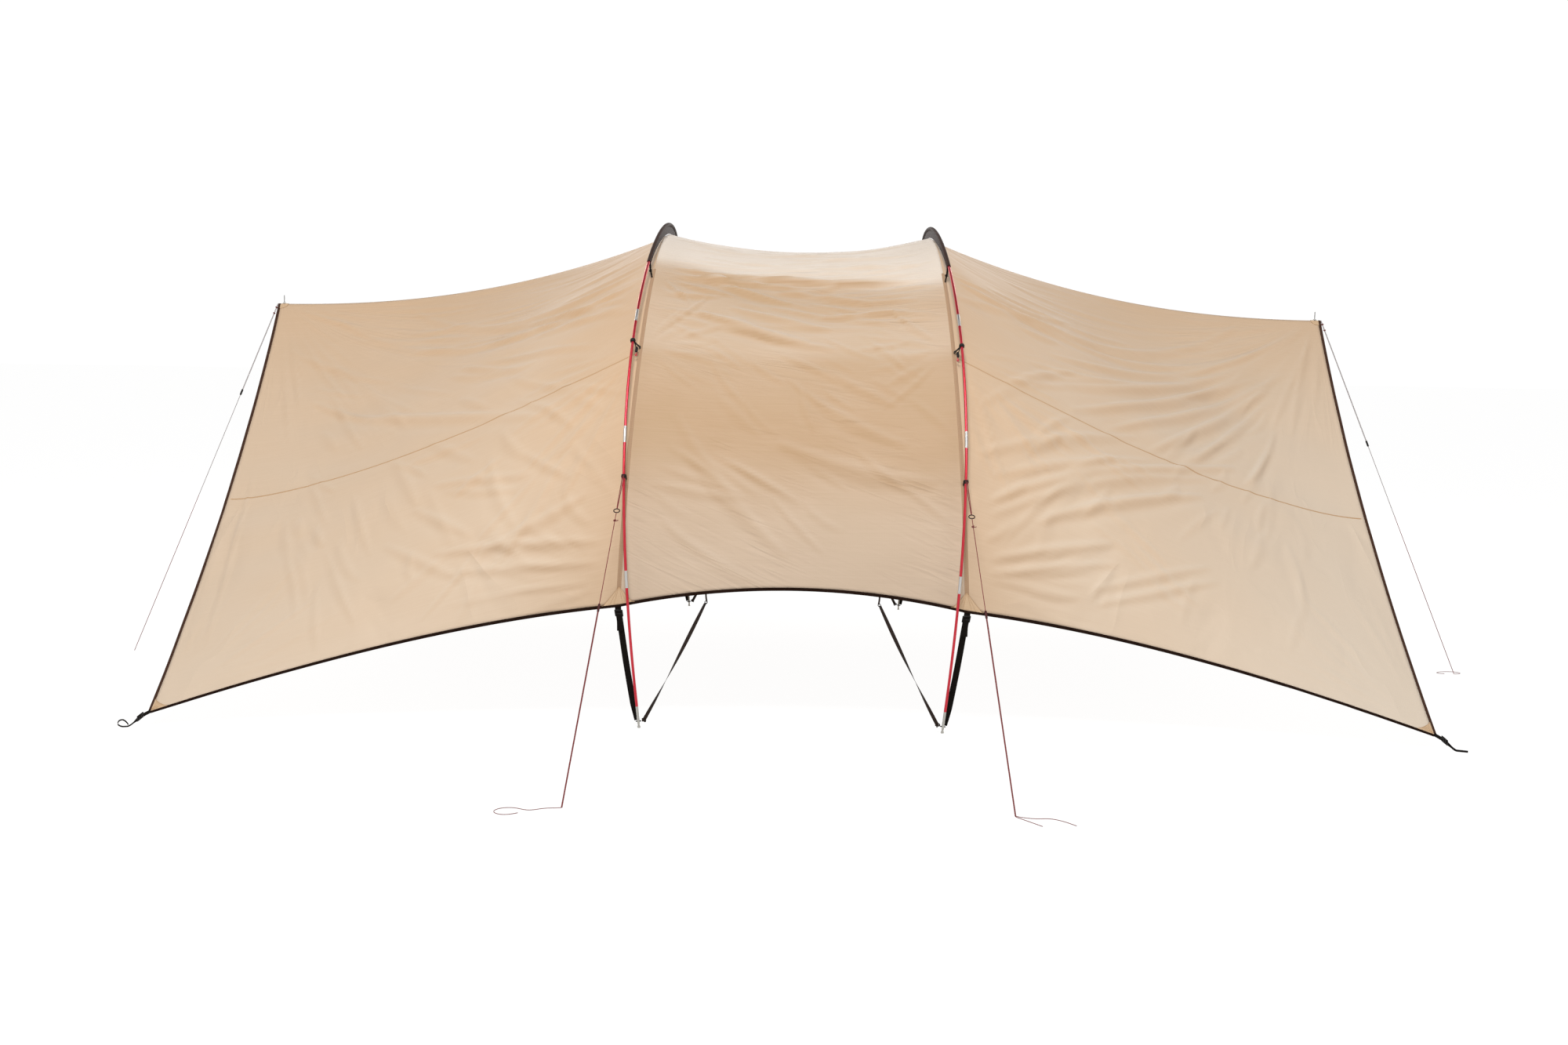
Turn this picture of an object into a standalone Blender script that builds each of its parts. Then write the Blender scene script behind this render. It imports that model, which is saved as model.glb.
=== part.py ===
"""A tarp tent: a fabric vault hung under two arched poles, with a wing running down from each arch.

Each wing ends in a ridge point on an upright pole. Guy lines and webbing straps hold everything out.
The long axis of the tent is X, the arches stand across it in Y, and the ground is z = 0. All sizes
are in metres. Both halves in X and both sides in Y are alike, apart from the loose ends of the guys.
"""
import math

import bmesh
import bpy
import numpy as np
from mathutils import Matrix, Vector

OBJECT_NAME = "tarp_tent"

# Arched poles. The bend of a pole grows from the crown to the shoulder and eases again to the foot.
POLE_RADIUS = 0.0055
ARCH_HALF_LENGTH = 3.117
ARCH_TOP = 2.097
ARCH_BEND_AT_CROWN = 0.392
ARCH_BEND_RISE = 0.357
ARCH_BEND_FALL = 0.104
ARCH_X_AT_WAIST = 0.6735
ARCH_WAIST_HEIGHT = 1.0
ARCH_X_LEAN = 0.0283
ARCH_X_BOW = 0.0533
ARCH_X_BOW_SKEW = -0.0178
LOWER_ARCH_STEPS = 12

# Aluminium joints between the pole sections, and the bright tip at each foot.
SECTION_LENGTH = 0.58
FIRST_JOINT_FROM_FOOT = 0.62
JOINTS_PER_HALF = 5
FERRULE_RADIUS = 0.0060
FERRULE_LENGTH = 0.068
FERRULE_LIP = 0.001
RING_SPACING = 0.004
TIP_LENGTH = 0.090
TIP_RADIUS = 0.0048
FOOT_RADIUS = 0.0075
FOOT_HEIGHT = 0.014

# Canopy. It hangs inside the arches by CANOPY_GAP, and v runs from the ridge (0) to the hem (1).
CANOPY_GAP = 0.045
CANOPY_THICKNESS = 0.003
HEM_ARC = 2.607
HEM_HEIGHT_AT_ARCH = 0.505
SEAM_X_AT_HEM = 0.692
SEAM_X_LEAN = 0.050
RIDGE_END_X = 2.505
RIDGE_END_Z = 1.694
CORNER_X = 2.536
CORNER_Y = 1.698
CORNER_Z = 0.060
EDGE_BOW = 0.040
VAULT_SAG_AT_CROWN = 0.080
VAULT_SAG_AT_HEM = 0.030
RIDGE_DIP = 1.2
RIDGE_DIP_FADE = 1.5
HEM_CUT_CENTRE = 0.075
HEM_CUT_WING = 0.065
HEM_LOOK_UP = 0.002
EDGE_LOOK_IN = 0.98
SEAM_V_AT_ARCH = 0.575
SEAM_V_AT_EDGE = 0.530

# Gaps between cut edges of the fabric, and between pieces that touch.
TOUCH = 0.0003
SEAM_GAP = 0.0004
EDGE_GAP = 0.0008
ARCH_SEAM_GAP = 0.0007

ROOF_HALF_STEPS = 7
WALL_STEPS = 7
CENTRE_STEPS = 8
WING_STEPS = 10

# Tape bound round the hem and the two open ends.
BINDING_WIDTH = 0.011
BINDING_THICKNESS = 0.0044
BINDING_END_CLEARANCE = 0.016

# Pole sleeves of mesh, sewn to the canopy along the crown of each arch.
SLEEVE_HALF_LENGTH = 1.050
SLEEVE_TUNNEL_RADIUS = 0.0070
SLEEVE_THICKNESS = 0.0010
SLEEVE_CLEARANCE = 0.0011
SLEEVE_WRAP_DEGREES = 320
SLEEVE_WRAP_STEPS = 8

# Hooks that hold the canopy to the bare part of the poles.
CLIP_ARCS = {"upper": 1.480, "lower": 2.090}
CLIP_WIRE_RADIUS = 0.0032
CLIP_NECK = (0.006, 0.010)

# Upright poles under the ridge ends, turned to three diameters with a spike on top.
UPRIGHT_X = 2.487
UPRIGHT_FOOT_RADIUS = 0.0110
UPRIGHT_LOWER_RADIUS = 0.0095
UPRIGHT_UPPER_RADIUS = 0.0080
UPRIGHT_SPIKE_RADIUS = 0.0022
UPRIGHT_FOOT_HEIGHT = 0.020
UPRIGHT_STEP_HEIGHT = 0.860
UPRIGHT_SHOULDER_DROP = 0.0118
UPRIGHT_SPIKE_RISE = 0.042
UPRIGHT_SPIKE_POINT_RADIUS = 0.0013
UPRIGHT_SPIKE_TAPER = 0.004
UPRIGHT_SIDES = 16
EYELET_CLEARANCE = 0.0004
EYELET_DEPTH = 0.04

# Webbing.
WEBBING_WIDTH = 0.025
WEBBING_THICKNESS = 0.0020
LADDER_LOCK = (0.034, 0.030, 0.009)
BRACE_WIDTH = 0.012
BRACE_THICKNESS = 0.0016
BRACE_HEM_K = 0.5
BRACE_FOOT_RISE = 0.012
BRACE_STEPS = 11
HANG_LOOK = 0.01
FOOT_STRAP_INSET = 0.0064
BRACE_INSET = 0.0038
STRAP_SEWN_LENGTH = 0.018
STRAP_CLEARANCE = 0.0012
LOCK_DROP = 0.004
LOCK_LEAD = 0.003
PEG_LOOP_X = 2.655
PEG_LOOP_Y = 1.745
CORNER_STRAP_SHARES = (0.001, 0.25, 0.52, 0.78, 1.0)
CORNER_STRAP_HEIGHTS = (0.059, 0.043, 0.026, 0.008, 0.0)

# Guy lines.
GUY_RADIUS = 0.00125
GUY_RING_MAJOR = 0.0072
GUY_RING_MINOR = 0.0014
GUY_RING_DROP = 0.188
GUY_BITE = 0.00075
RUNNER = (0.009, 0.006, 0.036)
ARCH_PEG = (0.757, 2.775)
RIDGE_PEG = (3.210, 0.120)
ARCH_RUNNER_FROM_RING = 0.480
RIDGE_RUNNER_FROM_TOP = {"left": 0.465, "right": 0.635}

# Loose ends of the guys on the ground.
TAIL_HEIGHT = GUY_RADIUS + TOUCH
TAIL_POINTS = 14
TAIL_START = GUY_RADIUS + TOUCH
TAIL_PAIR_OFFSET = GUY_RADIUS + TOUCH / 2
SPAN_STEPS = 24

# Each tail: its side in X and in Y, which of a pair it is, and its steps in X and Y from its start.
TAILS = {
    "tail_near_left": (-1, -1, 0, [(0.0, -0.010), (-0.055, -0.005), (-0.105, -0.048), (-0.150, -0.008),
                                   (-0.205, -0.016), (-0.222, -0.070), (-0.175, -0.105), (-0.135, -0.072)]),
    "tail_near_right": (1, -1, -1, [(0.0, -0.010), (0.035, -0.060), (0.075, -0.118)]),
    "tail_near_right_long": (1, -1, 1, [(0.001, -0.008), (0.060, -0.030), (0.110, -0.024), (0.150, -0.054),
                                        (0.185, -0.104)]),
    "tail_far_left": (-1, 1, 0, [(0.0, 0.010), (-0.040, 0.060), (-0.085, 0.110)]),
    "tail_far_right": (1, 1, 0, [(0.0, 0.010), (0.055, 0.018), (0.110, 0.045), (0.160, 0.100)]),
}
RIDGE_TAIL = [(0.008, 0.0), (0.040, 0.016), (0.030, 0.052), (-0.020, 0.058), (-0.070, 0.040),
              (-0.080, 0.010), (-0.046, 0.004)]

# Welding of caps, and the angle above which a turned edge is sharp.
WELD_DISTANCE = 0.00001
SHARP_DEGREES = 40

# Colours as linear values, with roughness and metallic for each kind of piece.
FINISHES = {
    "canopy_fabric": ((0.66, 0.50, 0.34, 1.0), 0.80, 0.0),
    "binding_tape": ((0.020, 0.012, 0.008, 1.0), 0.75, 0.0),
    "sleeve_mesh": ((0.045, 0.032, 0.032, 1.0), 0.70, 0.0),
    "red_anodised": ((0.30, 0.015, 0.018, 1.0), 0.32, 1.0),
    "bare_aluminium": ((0.60, 0.60, 0.58, 1.0), 0.35, 1.0),
    "black_plastic": ((0.012, 0.012, 0.012, 1.0), 0.45, 0.0),
    "black_webbing": ((0.014, 0.012, 0.010, 1.0), 0.80, 0.0),
    "guy_cord": ((0.22, 0.045, 0.060, 1.0), 0.70, 0.0),
}


def start_scene():
    """Empty the scene and give it one collection for the parts and one for the cutters."""
    for old in list(bpy.data.objects):
        bpy.data.objects.remove(old, do_unlink=True)
    made = []
    for name in (OBJECT_NAME, "cutters"):
        collection = bpy.data.collections.new(name)
        bpy.context.scene.collection.children.link(collection)
        made.append(collection)
    return made


PARTS, CUTTERS = start_scene()


def material(finish):
    """Principled material of one finish, made once."""
    found = bpy.data.materials.get(finish)
    if found:
        return found
    colour, roughness, metallic = FINISHES[finish]
    made = bpy.data.materials.new(finish)
    made.use_nodes = True
    shader = made.node_tree.nodes["Principled BSDF"]
    shader.inputs["Base Color"].default_value = colour
    shader.inputs["Roughness"].default_value = roughness
    shader.inputs["Metallic"].default_value = metallic
    return made


def add_object(name, mesh, finish, collection=PARTS):
    """Link a mesh as a named object with a material of its own."""
    own = material(finish).copy()
    own.name = name + "_" + finish
    mesh.materials.clear()
    mesh.materials.append(own)
    thing = bpy.data.objects.new(name, mesh)
    collection.objects.link(thing)
    return thing


def add_cutter(name, mesh):
    """A shape that only cuts or joins others, drawn as wire."""
    thing = bpy.data.objects.new(name, mesh)
    CUTTERS.objects.link(thing)
    thing.hide_render = True
    thing.display_type = "WIRE"
    return thing


def add_boolean(thing, other, operation):
    """Cut with, or join to, another closed shape."""
    step = thing.modifiers.new(operation.lower(), "BOOLEAN")
    step.operation = operation
    step.solver = "EXACT"
    step.object = other


def add_solidify(thing, thickness, offset=0.0):
    """Give an open surface its thickness."""
    step = thing.modifiers.new("thickness", "SOLIDIFY")
    step.thickness = thickness
    step.offset = offset
    step.use_even_offset = True


def grid_mesh(name, points):
    """Open surface through an array of points, rows by columns by three."""
    rows, columns, _ = points.shape
    index = np.arange(rows * columns).reshape(rows, columns)
    corners = (index[:-1, :-1], index[:-1, 1:], index[1:, 1:], index[1:, :-1])
    faces = np.stack(corners, axis=-1).reshape(-1, 4)
    mesh = bpy.data.meshes.new(name)
    mesh.from_pydata(points.reshape(-1, 3).tolist(), [], faces.tolist())
    mesh.update()
    return mesh


def tube_mesh(name, points, radii):
    """Round tube along points, as a closed mesh made from a curve."""
    curve = bpy.data.curves.new(name, "CURVE")
    curve.dimensions = "3D"
    curve.bevel_depth = 1.0
    curve.bevel_resolution = 2
    curve.use_fill_caps = True
    spline = curve.splines.new("POLY")
    spline.points.add(len(points) - 1)
    for point, place, radius in zip(spline.points, points, radii):
        point.co = (*place, 1.0)
        point.radius = radius
    holder = bpy.data.objects.new(name, curve)
    CUTTERS.objects.link(holder)
    bpy.context.view_layer.update()
    graph = bpy.context.evaluated_depsgraph_get()
    mesh = bpy.data.meshes.new_from_object(holder.evaluated_get(graph))
    bpy.data.objects.remove(holder, do_unlink=True)
    weld(mesh)
    mesh.shade_smooth()
    return mesh


def weld(mesh):
    """Merge the loose caps of a mesh to its sides."""
    work = bmesh.new()
    work.from_mesh(mesh)
    bmesh.ops.remove_doubles(work, verts=work.verts, dist=WELD_DISTANCE)
    bmesh.ops.recalc_face_normals(work, faces=work.faces)
    work.to_mesh(mesh)
    work.free()


def box_mesh(name, size, matrix):
    """Box of a given size, placed by a matrix."""
    work = bmesh.new()
    bmesh.ops.create_cube(work, size=1.0, matrix=matrix @ Matrix.Diagonal((*size, 1.0)))
    mesh = bpy.data.meshes.new(name)
    work.to_mesh(mesh)
    work.free()
    return mesh


def cylinder_mesh(name, radius, depth, matrix, sides=16):
    """Closed cylinder along the matrix's own Z axis, centred on its place."""
    work = bmesh.new()
    bmesh.ops.create_cone(work, cap_ends=True, segments=sides, radius1=radius, radius2=radius,
                          depth=depth, matrix=matrix)
    mesh = bpy.data.meshes.new(name)
    work.to_mesh(mesh)
    work.free()
    mesh.shade_smooth()
    mesh.set_sharp_from_angle(angle=math.radians(SHARP_DEGREES))
    return mesh


def torus_mesh(name, major, minor, matrix, around=12, across=6):
    """Ring lying across the matrix's own Z axis."""
    angle = np.linspace(0, 2 * np.pi, around, endpoint=False)[:, None]
    turn = np.linspace(0, 2 * np.pi, across, endpoint=False)[None, :]
    reach = major + minor * np.cos(turn)
    points = np.stack(np.broadcast_arrays(reach * np.cos(angle), reach * np.sin(angle),
                                          minor * np.sin(turn)), axis=-1)
    rows = np.arange(around)[:, None]
    columns = np.arange(across)[None, :]
    next_row = (rows + 1) % around
    next_column = (columns + 1) % across
    corners = (rows * across + columns, next_row * across + columns,
               next_row * across + next_column, rows * across + next_column)
    faces = np.stack(np.broadcast_arrays(*corners), axis=-1).reshape(-1, 4)
    mesh = bpy.data.meshes.new(name)
    mesh.from_pydata(points.reshape(-1, 3).tolist(), [], faces.tolist())
    mesh.transform(matrix)
    mesh.update()
    mesh.shade_smooth()
    return mesh


def axis_matrix(place, axis, across=(1.0, 0.0, 0.0)):
    """Matrix at a place whose Z runs along an axis and whose X stays near another direction."""
    z = Vector(axis).normalized()
    y = z.cross(Vector(across)).normalized()
    x = y.cross(z)
    turn = Matrix((x, y, z)).transposed().to_4x4()
    return Matrix.Translation(Vector(place)) @ turn


# The arch, walked along its length from the crown: reach from the middle, height and slope.
_WALK = np.linspace(0.0, ARCH_HALF_LENGTH + 0.2, 1400)
_SLOPE = (ARCH_BEND_AT_CROWN * _WALK + ARCH_BEND_RISE * _WALK ** 2 / 2
          - ARCH_BEND_FALL * _WALK ** 3 / 3)


def run_up(values):
    """Running sum of a quantity along the walk."""
    return np.concatenate([[0.0], np.cumsum((values[1:] + values[:-1]) / 2 * np.diff(_WALK))])


_REACH = run_up(np.cos(_SLOPE))
_HEIGHT = ARCH_TOP - run_up(np.sin(_SLOPE))


def arch_at(arc):
    """Reach, height and downward slope of the pole at a signed arc length from the crown."""
    arc = np.asarray(arc, dtype=float)
    length = np.abs(arc)
    return (np.sign(arc) * np.interp(length, _WALK, _REACH),
            np.interp(length, _WALK, _HEIGHT),
            np.sign(arc) * np.interp(length, _WALK, _SLOPE))


def arch_x(height):
    """Distance of the pole from the middle of the tent: widest at the waist."""
    rise = height - ARCH_WAIST_HEIGHT
    return (ARCH_X_AT_WAIST + ARCH_X_LEAN * rise - ARCH_X_BOW * rise ** 2
            + ARCH_X_BOW_SKEW * rise ** 3)


def pole_point(arc, side):
    """Centre of an arched pole. Arc is positive towards +Y, side is -1 or +1 in X."""
    reach, height, _ = arch_at(arc)
    return np.stack([side * arch_x(height), reach, height], axis=-1)


def canopy_at_arch(v, gap=CANOPY_GAP):
    """X, Y, Z of the fabric under the arch, inside the pole by the gap. v is signed towards +Y."""
    reach, height, slope = arch_at(np.asarray(v) * HEM_ARC)
    y = reach - gap * np.sin(slope)
    z = height - gap * np.cos(slope)
    x = SEAM_X_AT_HEM - SEAM_X_LEAN * (z - HEM_HEIGHT_AT_ARCH)
    return x, y, z


def wing_point(v, t, side):
    """Point of a wing: v from ridge to hem and signed towards +Y, t from the arch to the open end."""
    v, t = np.broadcast_arrays(np.asarray(v, dtype=float), np.asarray(t, dtype=float))
    down = np.abs(v)
    arch_side_x, arch_y, arch_z = canopy_at_arch(v)
    end_x = RIDGE_END_X + (CORNER_X - RIDGE_END_X) * down - EDGE_BOW * 4 * down * (1 - down)
    end_y = CORNER_Y * v
    end_z = RIDGE_END_Z + (CORNER_Z - RIDGE_END_Z) * down
    power = 1 + RIDGE_DIP * np.clip(1 - down, 0, 1) ** RIDGE_DIP_FADE
    weight = np.clip(1 - t, 0, None) ** power
    x = arch_side_x + (end_x - arch_side_x) * t
    y = end_y + (arch_y - end_y) * weight
    z = end_z + (arch_z - end_z) * weight
    return np.stack([side * x, y, z], axis=-1)


def vault_point(v, k):
    """Point of the vault between the arches: k runs from -1 to 1 across it."""
    v, k = np.broadcast_arrays(np.asarray(v, dtype=float), np.asarray(k, dtype=float))
    down = np.abs(v)
    sag = (VAULT_SAG_AT_CROWN + (VAULT_SAG_AT_HEM - VAULT_SAG_AT_CROWN) * down) * (1 - k ** 2)
    x, _, _ = canopy_at_arch(v)
    _, y, z = canopy_at_arch(v, CANOPY_GAP + sag)
    return np.stack([x * k, y, z], axis=-1)


def wing_hem(t):
    """v of the hem along a wing, cut upwards in a shallow curve."""
    return 1 - HEM_CUT_WING / HEM_ARC * 4 * t * (1 - t)


def vault_hem(k):
    """v of the hem along the vault."""
    return 1 - HEM_CUT_CENTRE / HEM_ARC * (1 - k ** 2)


def wing_seam(t):
    """v of the seam between the roof and wall panels of a wing."""
    return SEAM_V_AT_ARCH + (SEAM_V_AT_EDGE - SEAM_V_AT_ARCH) * t


def wing_columns():
    """Columns of the wing panels, from just beside the arch to the open end."""
    return np.linspace(ARCH_SEAM_GAP / (RIDGE_END_X - SEAM_X_AT_HEM), 1, WING_STEPS + 1)


def vault_columns():
    """Columns of the vault panels, from just beside one arch to just beside the other."""
    half = ARCH_SEAM_GAP / SEAM_X_AT_HEM
    return np.linspace(-1 + half, 1 - half, CENTRE_STEPS + 1)


def add_panel(name, points):
    """One cut panel of canopy fabric."""
    panel = add_object(name, grid_mesh(name, points), "canopy_fabric")
    add_solidify(panel, CANOPY_THICKNESS)
    panel.data.shade_smooth()
    return panel


def build_vault_panels():
    """Roof and two walls between the arches."""
    k = vault_columns()[None, :]
    seam_gap = SEAM_GAP / 2 / HEM_ARC
    v = np.linspace(-SEAM_V_AT_ARCH + seam_gap, SEAM_V_AT_ARCH - seam_gap, 2 * ROOF_HALF_STEPS + 1)
    add_panel("vault_roof", vault_point(v[:, None], k)[:, ::-1])
    for word, sign in (("near", -1), ("far", 1)):
        share = np.linspace(0, 1, WALL_STEPS + 1)[:, None]
        top = SEAM_V_AT_ARCH + seam_gap
        v = top + (vault_hem(k) - top) * share
        points = vault_point(sign * v, k)
        add_panel("vault_wall_" + word, points if sign < 0 else points[:, ::-1])


def build_wing_panels():
    """A roof over the ridge and two walls on each wing, with an eyelet for the upright's spike."""
    t = wing_columns()[None, :]
    seam_gap = SEAM_GAP / 2 / HEM_ARC
    for end, side in (("left", -1), ("right", 1)):
        share = np.linspace(-1, 1, 2 * ROOF_HALF_STEPS + 1)[:, None]
        roof = wing_point(share * (wing_seam(t) - seam_gap), t, side)
        panel = add_panel("wing_roof_" + end, roof[:, ::-side])
        place = Matrix.Translation((side * UPRIGHT_X, 0, RIDGE_END_Z))
        hole = cylinder_mesh("eyelet_" + end, UPRIGHT_SPIKE_RADIUS + EYELET_CLEARANCE, EYELET_DEPTH, place)
        add_boolean(panel, add_cutter("eyelet_" + end, hole), "DIFFERENCE")
        for word, sign in (("near", -1), ("far", 1)):
            share = np.linspace(0, 1, WALL_STEPS + 1)[:, None]
            top = wing_seam(t) + seam_gap
            v = top + (wing_hem(t) - top) * share
            points = wing_point(sign * v, t, side)
            add_panel("wing_wall_%s_%s" % (word, end), points if sign * side > 0 else points[:, ::-1])


def unit(vectors):
    """Vectors scaled to length one."""
    return vectors / np.linalg.norm(vectors, axis=-1, keepdims=True)


def ribbon_points(path, across, near, far):
    """Two rows of points beside a path, at two distances along the across directions."""
    return np.stack([path + near * across, path + far * across])


def shorten(path, length):
    """Path cut back by a length at both of its ends."""
    path = path.copy()
    for last, before in ((0, 1), (-1, -2)):
        path[last] += unit(path[before] - path[last]) * length
    return path


def build_hem_bindings():
    """One tape along each long hem, from corner to corner, just below the fabric."""
    t = wing_columns()
    k = vault_columns()
    for word, sign in (("near", -1), ("far", 1)):
        rows = []
        for lift in (0.0, HEM_LOOK_UP):
            left = wing_point(sign * (wing_hem(t) - lift), t, -1)[::-1]
            middle = vault_point(sign * (vault_hem(k) - lift), k)
            right = wing_point(sign * (wing_hem(t) - lift), t, 1)
            rows.append(np.concatenate([left, middle[1:-1], right]))
        path, above = rows
        down = unit(path - above)
        points = ribbon_points(shorten(path, BINDING_END_CLEARANCE), down, SEAM_GAP, BINDING_WIDTH)
        name = "hem_binding_" + word
        tape = add_object(name, grid_mesh(name, points if sign < 0 else points[:, ::-1]), "binding_tape")
        add_solidify(tape, BINDING_THICKNESS)


def build_edge_bindings():
    """One tape round each open end, from the near corner over the ridge end to the far corner."""
    v = np.concatenate([np.linspace(0, wing_seam(1.0), ROOF_HALF_STEPS + 1),
                        np.linspace(wing_seam(1.0), 1.0, WALL_STEPS + 1)[1:]])
    v = np.concatenate([-v[:0:-1], v])
    for end, side in (("left", -1), ("right", 1)):
        path = wing_point(v, 1.0, side)
        out = unit(path - wing_point(v, EDGE_LOOK_IN, side))
        path = shorten(path, BINDING_END_CLEARANCE)
        points = ribbon_points(path, out, EDGE_GAP, BINDING_WIDTH)
        name = "edge_binding_" + end
        tape = add_object(name, grid_mesh(name, points if side > 0 else points[:, ::-1]), "binding_tape")
        add_solidify(tape, BINDING_THICKNESS)


def fabric_at_arch(v, side):
    """Point on the panels' cut edge under the arch, straight between the rows of the panels."""
    roof = np.linspace(0, SEAM_V_AT_ARCH, ROOF_HALF_STEPS + 1)
    rows = np.concatenate([roof, np.linspace(SEAM_V_AT_ARCH, 1, WALL_STEPS + 1)[1:]])
    rows = np.concatenate([-rows[:0:-1], rows])
    x, y, z = canopy_at_arch(rows)
    return np.stack([np.interp(v, rows, part) for part in (side * x, y, z)], axis=-1)


def arch_frame(arc, side):
    """Pole point, direction along the pole, direction from the pole to the fabric, and how far."""
    place = pole_point(arc, side)
    along = unit(pole_point(arc + 0.001, side) - pole_point(arc - 0.001, side))
    inward = fabric_at_arch(arc / HEM_ARC, side) - place
    depth = np.linalg.norm(inward, axis=-1, keepdims=True)
    return place, along, inward / depth, depth


def pole_stations():
    """Arc length and radius of each ring of a pole, with extra rings at its joints and clips."""
    end = ARCH_HALF_LENGTH - TIP_LENGTH
    joints = ARCH_HALF_LENGTH - FIRST_JOINT_FROM_FOOT - SECTION_LENGTH * np.arange(JOINTS_PER_HALF)
    half = FERRULE_LENGTH / 2
    roof = np.linspace(0, SEAM_V_AT_ARCH * HEM_ARC, 2 * ROOF_HALF_STEPS + 1)
    arcs = np.concatenate([roof, np.linspace(roof[-1], end, LOWER_ARCH_STEPS + 1)[1:]])
    stations = [(arc, POLE_RADIUS) for arc in np.concatenate([-arcs[:0:-1], arcs])]
    for centre in np.concatenate([-joints, joints]):
        stations = [s for s in stations if abs(s[0] - centre) > half + RING_SPACING]
        stations += [(centre - half - FERRULE_LIP, POLE_RADIUS), (centre - half, FERRULE_RADIUS),
                     (centre + half, FERRULE_RADIUS), (centre + half + FERRULE_LIP, POLE_RADIUS)]
    for arc in CLIP_ARCS.values():
        for centre in (-arc, arc):
            stations = [s for s in stations if abs(s[0] - centre) > 4 * CLIP_WIRE_RADIUS]
            stations += [(centre - 2 * CLIP_WIRE_RADIUS, POLE_RADIUS), (centre + 2 * CLIP_WIRE_RADIUS, POLE_RADIUS)]
    return sorted(stations)


def build_arch_poles():
    """Two bent poles of slim tube, thicker at the joints between their sections."""
    stations = pole_stations()
    for name, side in (("arch_pole_left", -1), ("arch_pole_right", 1)):
        points = [pole_point(arc, side) for arc, _ in stations]
        mesh = tube_mesh(name, points, [radius for _, radius in stations])
        add_object(name, mesh, "red_anodised")


def build_pole_tips():
    """A bright tip on each pole end, with a flat foot on the ground."""
    end = ARCH_HALF_LENGTH - TIP_LENGTH
    for end_word, side in (("left", -1), ("right", 1)):
        for word, sign in (("near", -1), ("far", 1)):
            top = Vector(pole_point(sign * end, side))
            foot = Vector(pole_point(sign * ARCH_HALF_LENGTH, side))
            foot.z = FOOT_HEIGHT / 2
            direction = (foot - top).normalized()
            top = top + direction * TOUCH
            middle = (top + foot) / 2
            name = "pole_tip_%s_%s" % (word, end_word)
            length = (foot - top).length
            rod = cylinder_mesh(name, TIP_RADIUS, length, axis_matrix(middle, direction), 12)
            tip = add_object(name, rod, "bare_aluminium")
            place = Matrix.Translation(foot)
            pad = cylinder_mesh(name + "_foot", FOOT_RADIUS, FOOT_HEIGHT, place)
            add_boolean(tip, add_cutter(name + "_foot", pad), "UNION")


def build_sleeves():
    """Mesh sleeves: a web rising from the fabric that wraps once round the pole."""
    inner = [arc for arc, _ in pole_stations() if abs(arc) < SLEEVE_HALF_LENGTH - FERRULE_LIP]
    arcs = np.array([-SLEEVE_HALF_LENGTH] + inner + [SLEEVE_HALF_LENGTH])
    wrap = np.radians(np.linspace(0, SLEEVE_WRAP_DEGREES, SLEEVE_WRAP_STEPS + 1))
    for name, side in (("pole_sleeve_left", -1), ("pole_sleeve_right", 1)):
        place, along, inward, depth = arch_frame(arcs, side)
        sideways = unit(np.cross(along, inward))
        web = depth - CANOPY_THICKNESS / 2 - SLEEVE_CLEARANCE
        columns = [place + inward * web]
        columns += [place + SLEEVE_TUNNEL_RADIUS * (inward * math.cos(a) + sideways * math.sin(a))
                    for a in wrap]
        sleeve = add_object(name, grid_mesh(name, np.stack(columns)), "sleeve_mesh")
        add_solidify(sleeve, SLEEVE_THICKNESS)
        sleeve.data.shade_smooth()


def build_clips():
    """Hooks: a ring round the pole and a neck down to the fabric."""
    for end_word, side in (("left", -1), ("right", 1)):
        for word, sign in (("near", -1), ("far", 1)):
            for level, arc in CLIP_ARCS.items():
                place, along, inward, depth = arch_frame(sign * arc, side)
                name = "pole_clip_%s_%s_%s" % (level, word, end_word)
                major = POLE_RADIUS + TOUCH + CLIP_WIRE_RADIUS
                ring = torus_mesh(name, major, CLIP_WIRE_RADIUS, axis_matrix(place, along))
                clip = add_object(name, ring, "black_plastic")
                start = POLE_RADIUS + 2 * TOUCH + CLIP_WIRE_RADIUS / 2
                stop = float(depth[0]) - CANOPY_THICKNESS / 2 - SLEEVE_CLEARANCE
                middle = place + inward * (start + stop) / 2
                turn = axis_matrix(middle, inward, along)
                neck = box_mesh(name + "_neck", (CLIP_NECK[1], CLIP_NECK[0], stop - start), turn)
                add_boolean(clip, add_cutter(name + "_neck", neck), "UNION")


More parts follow.
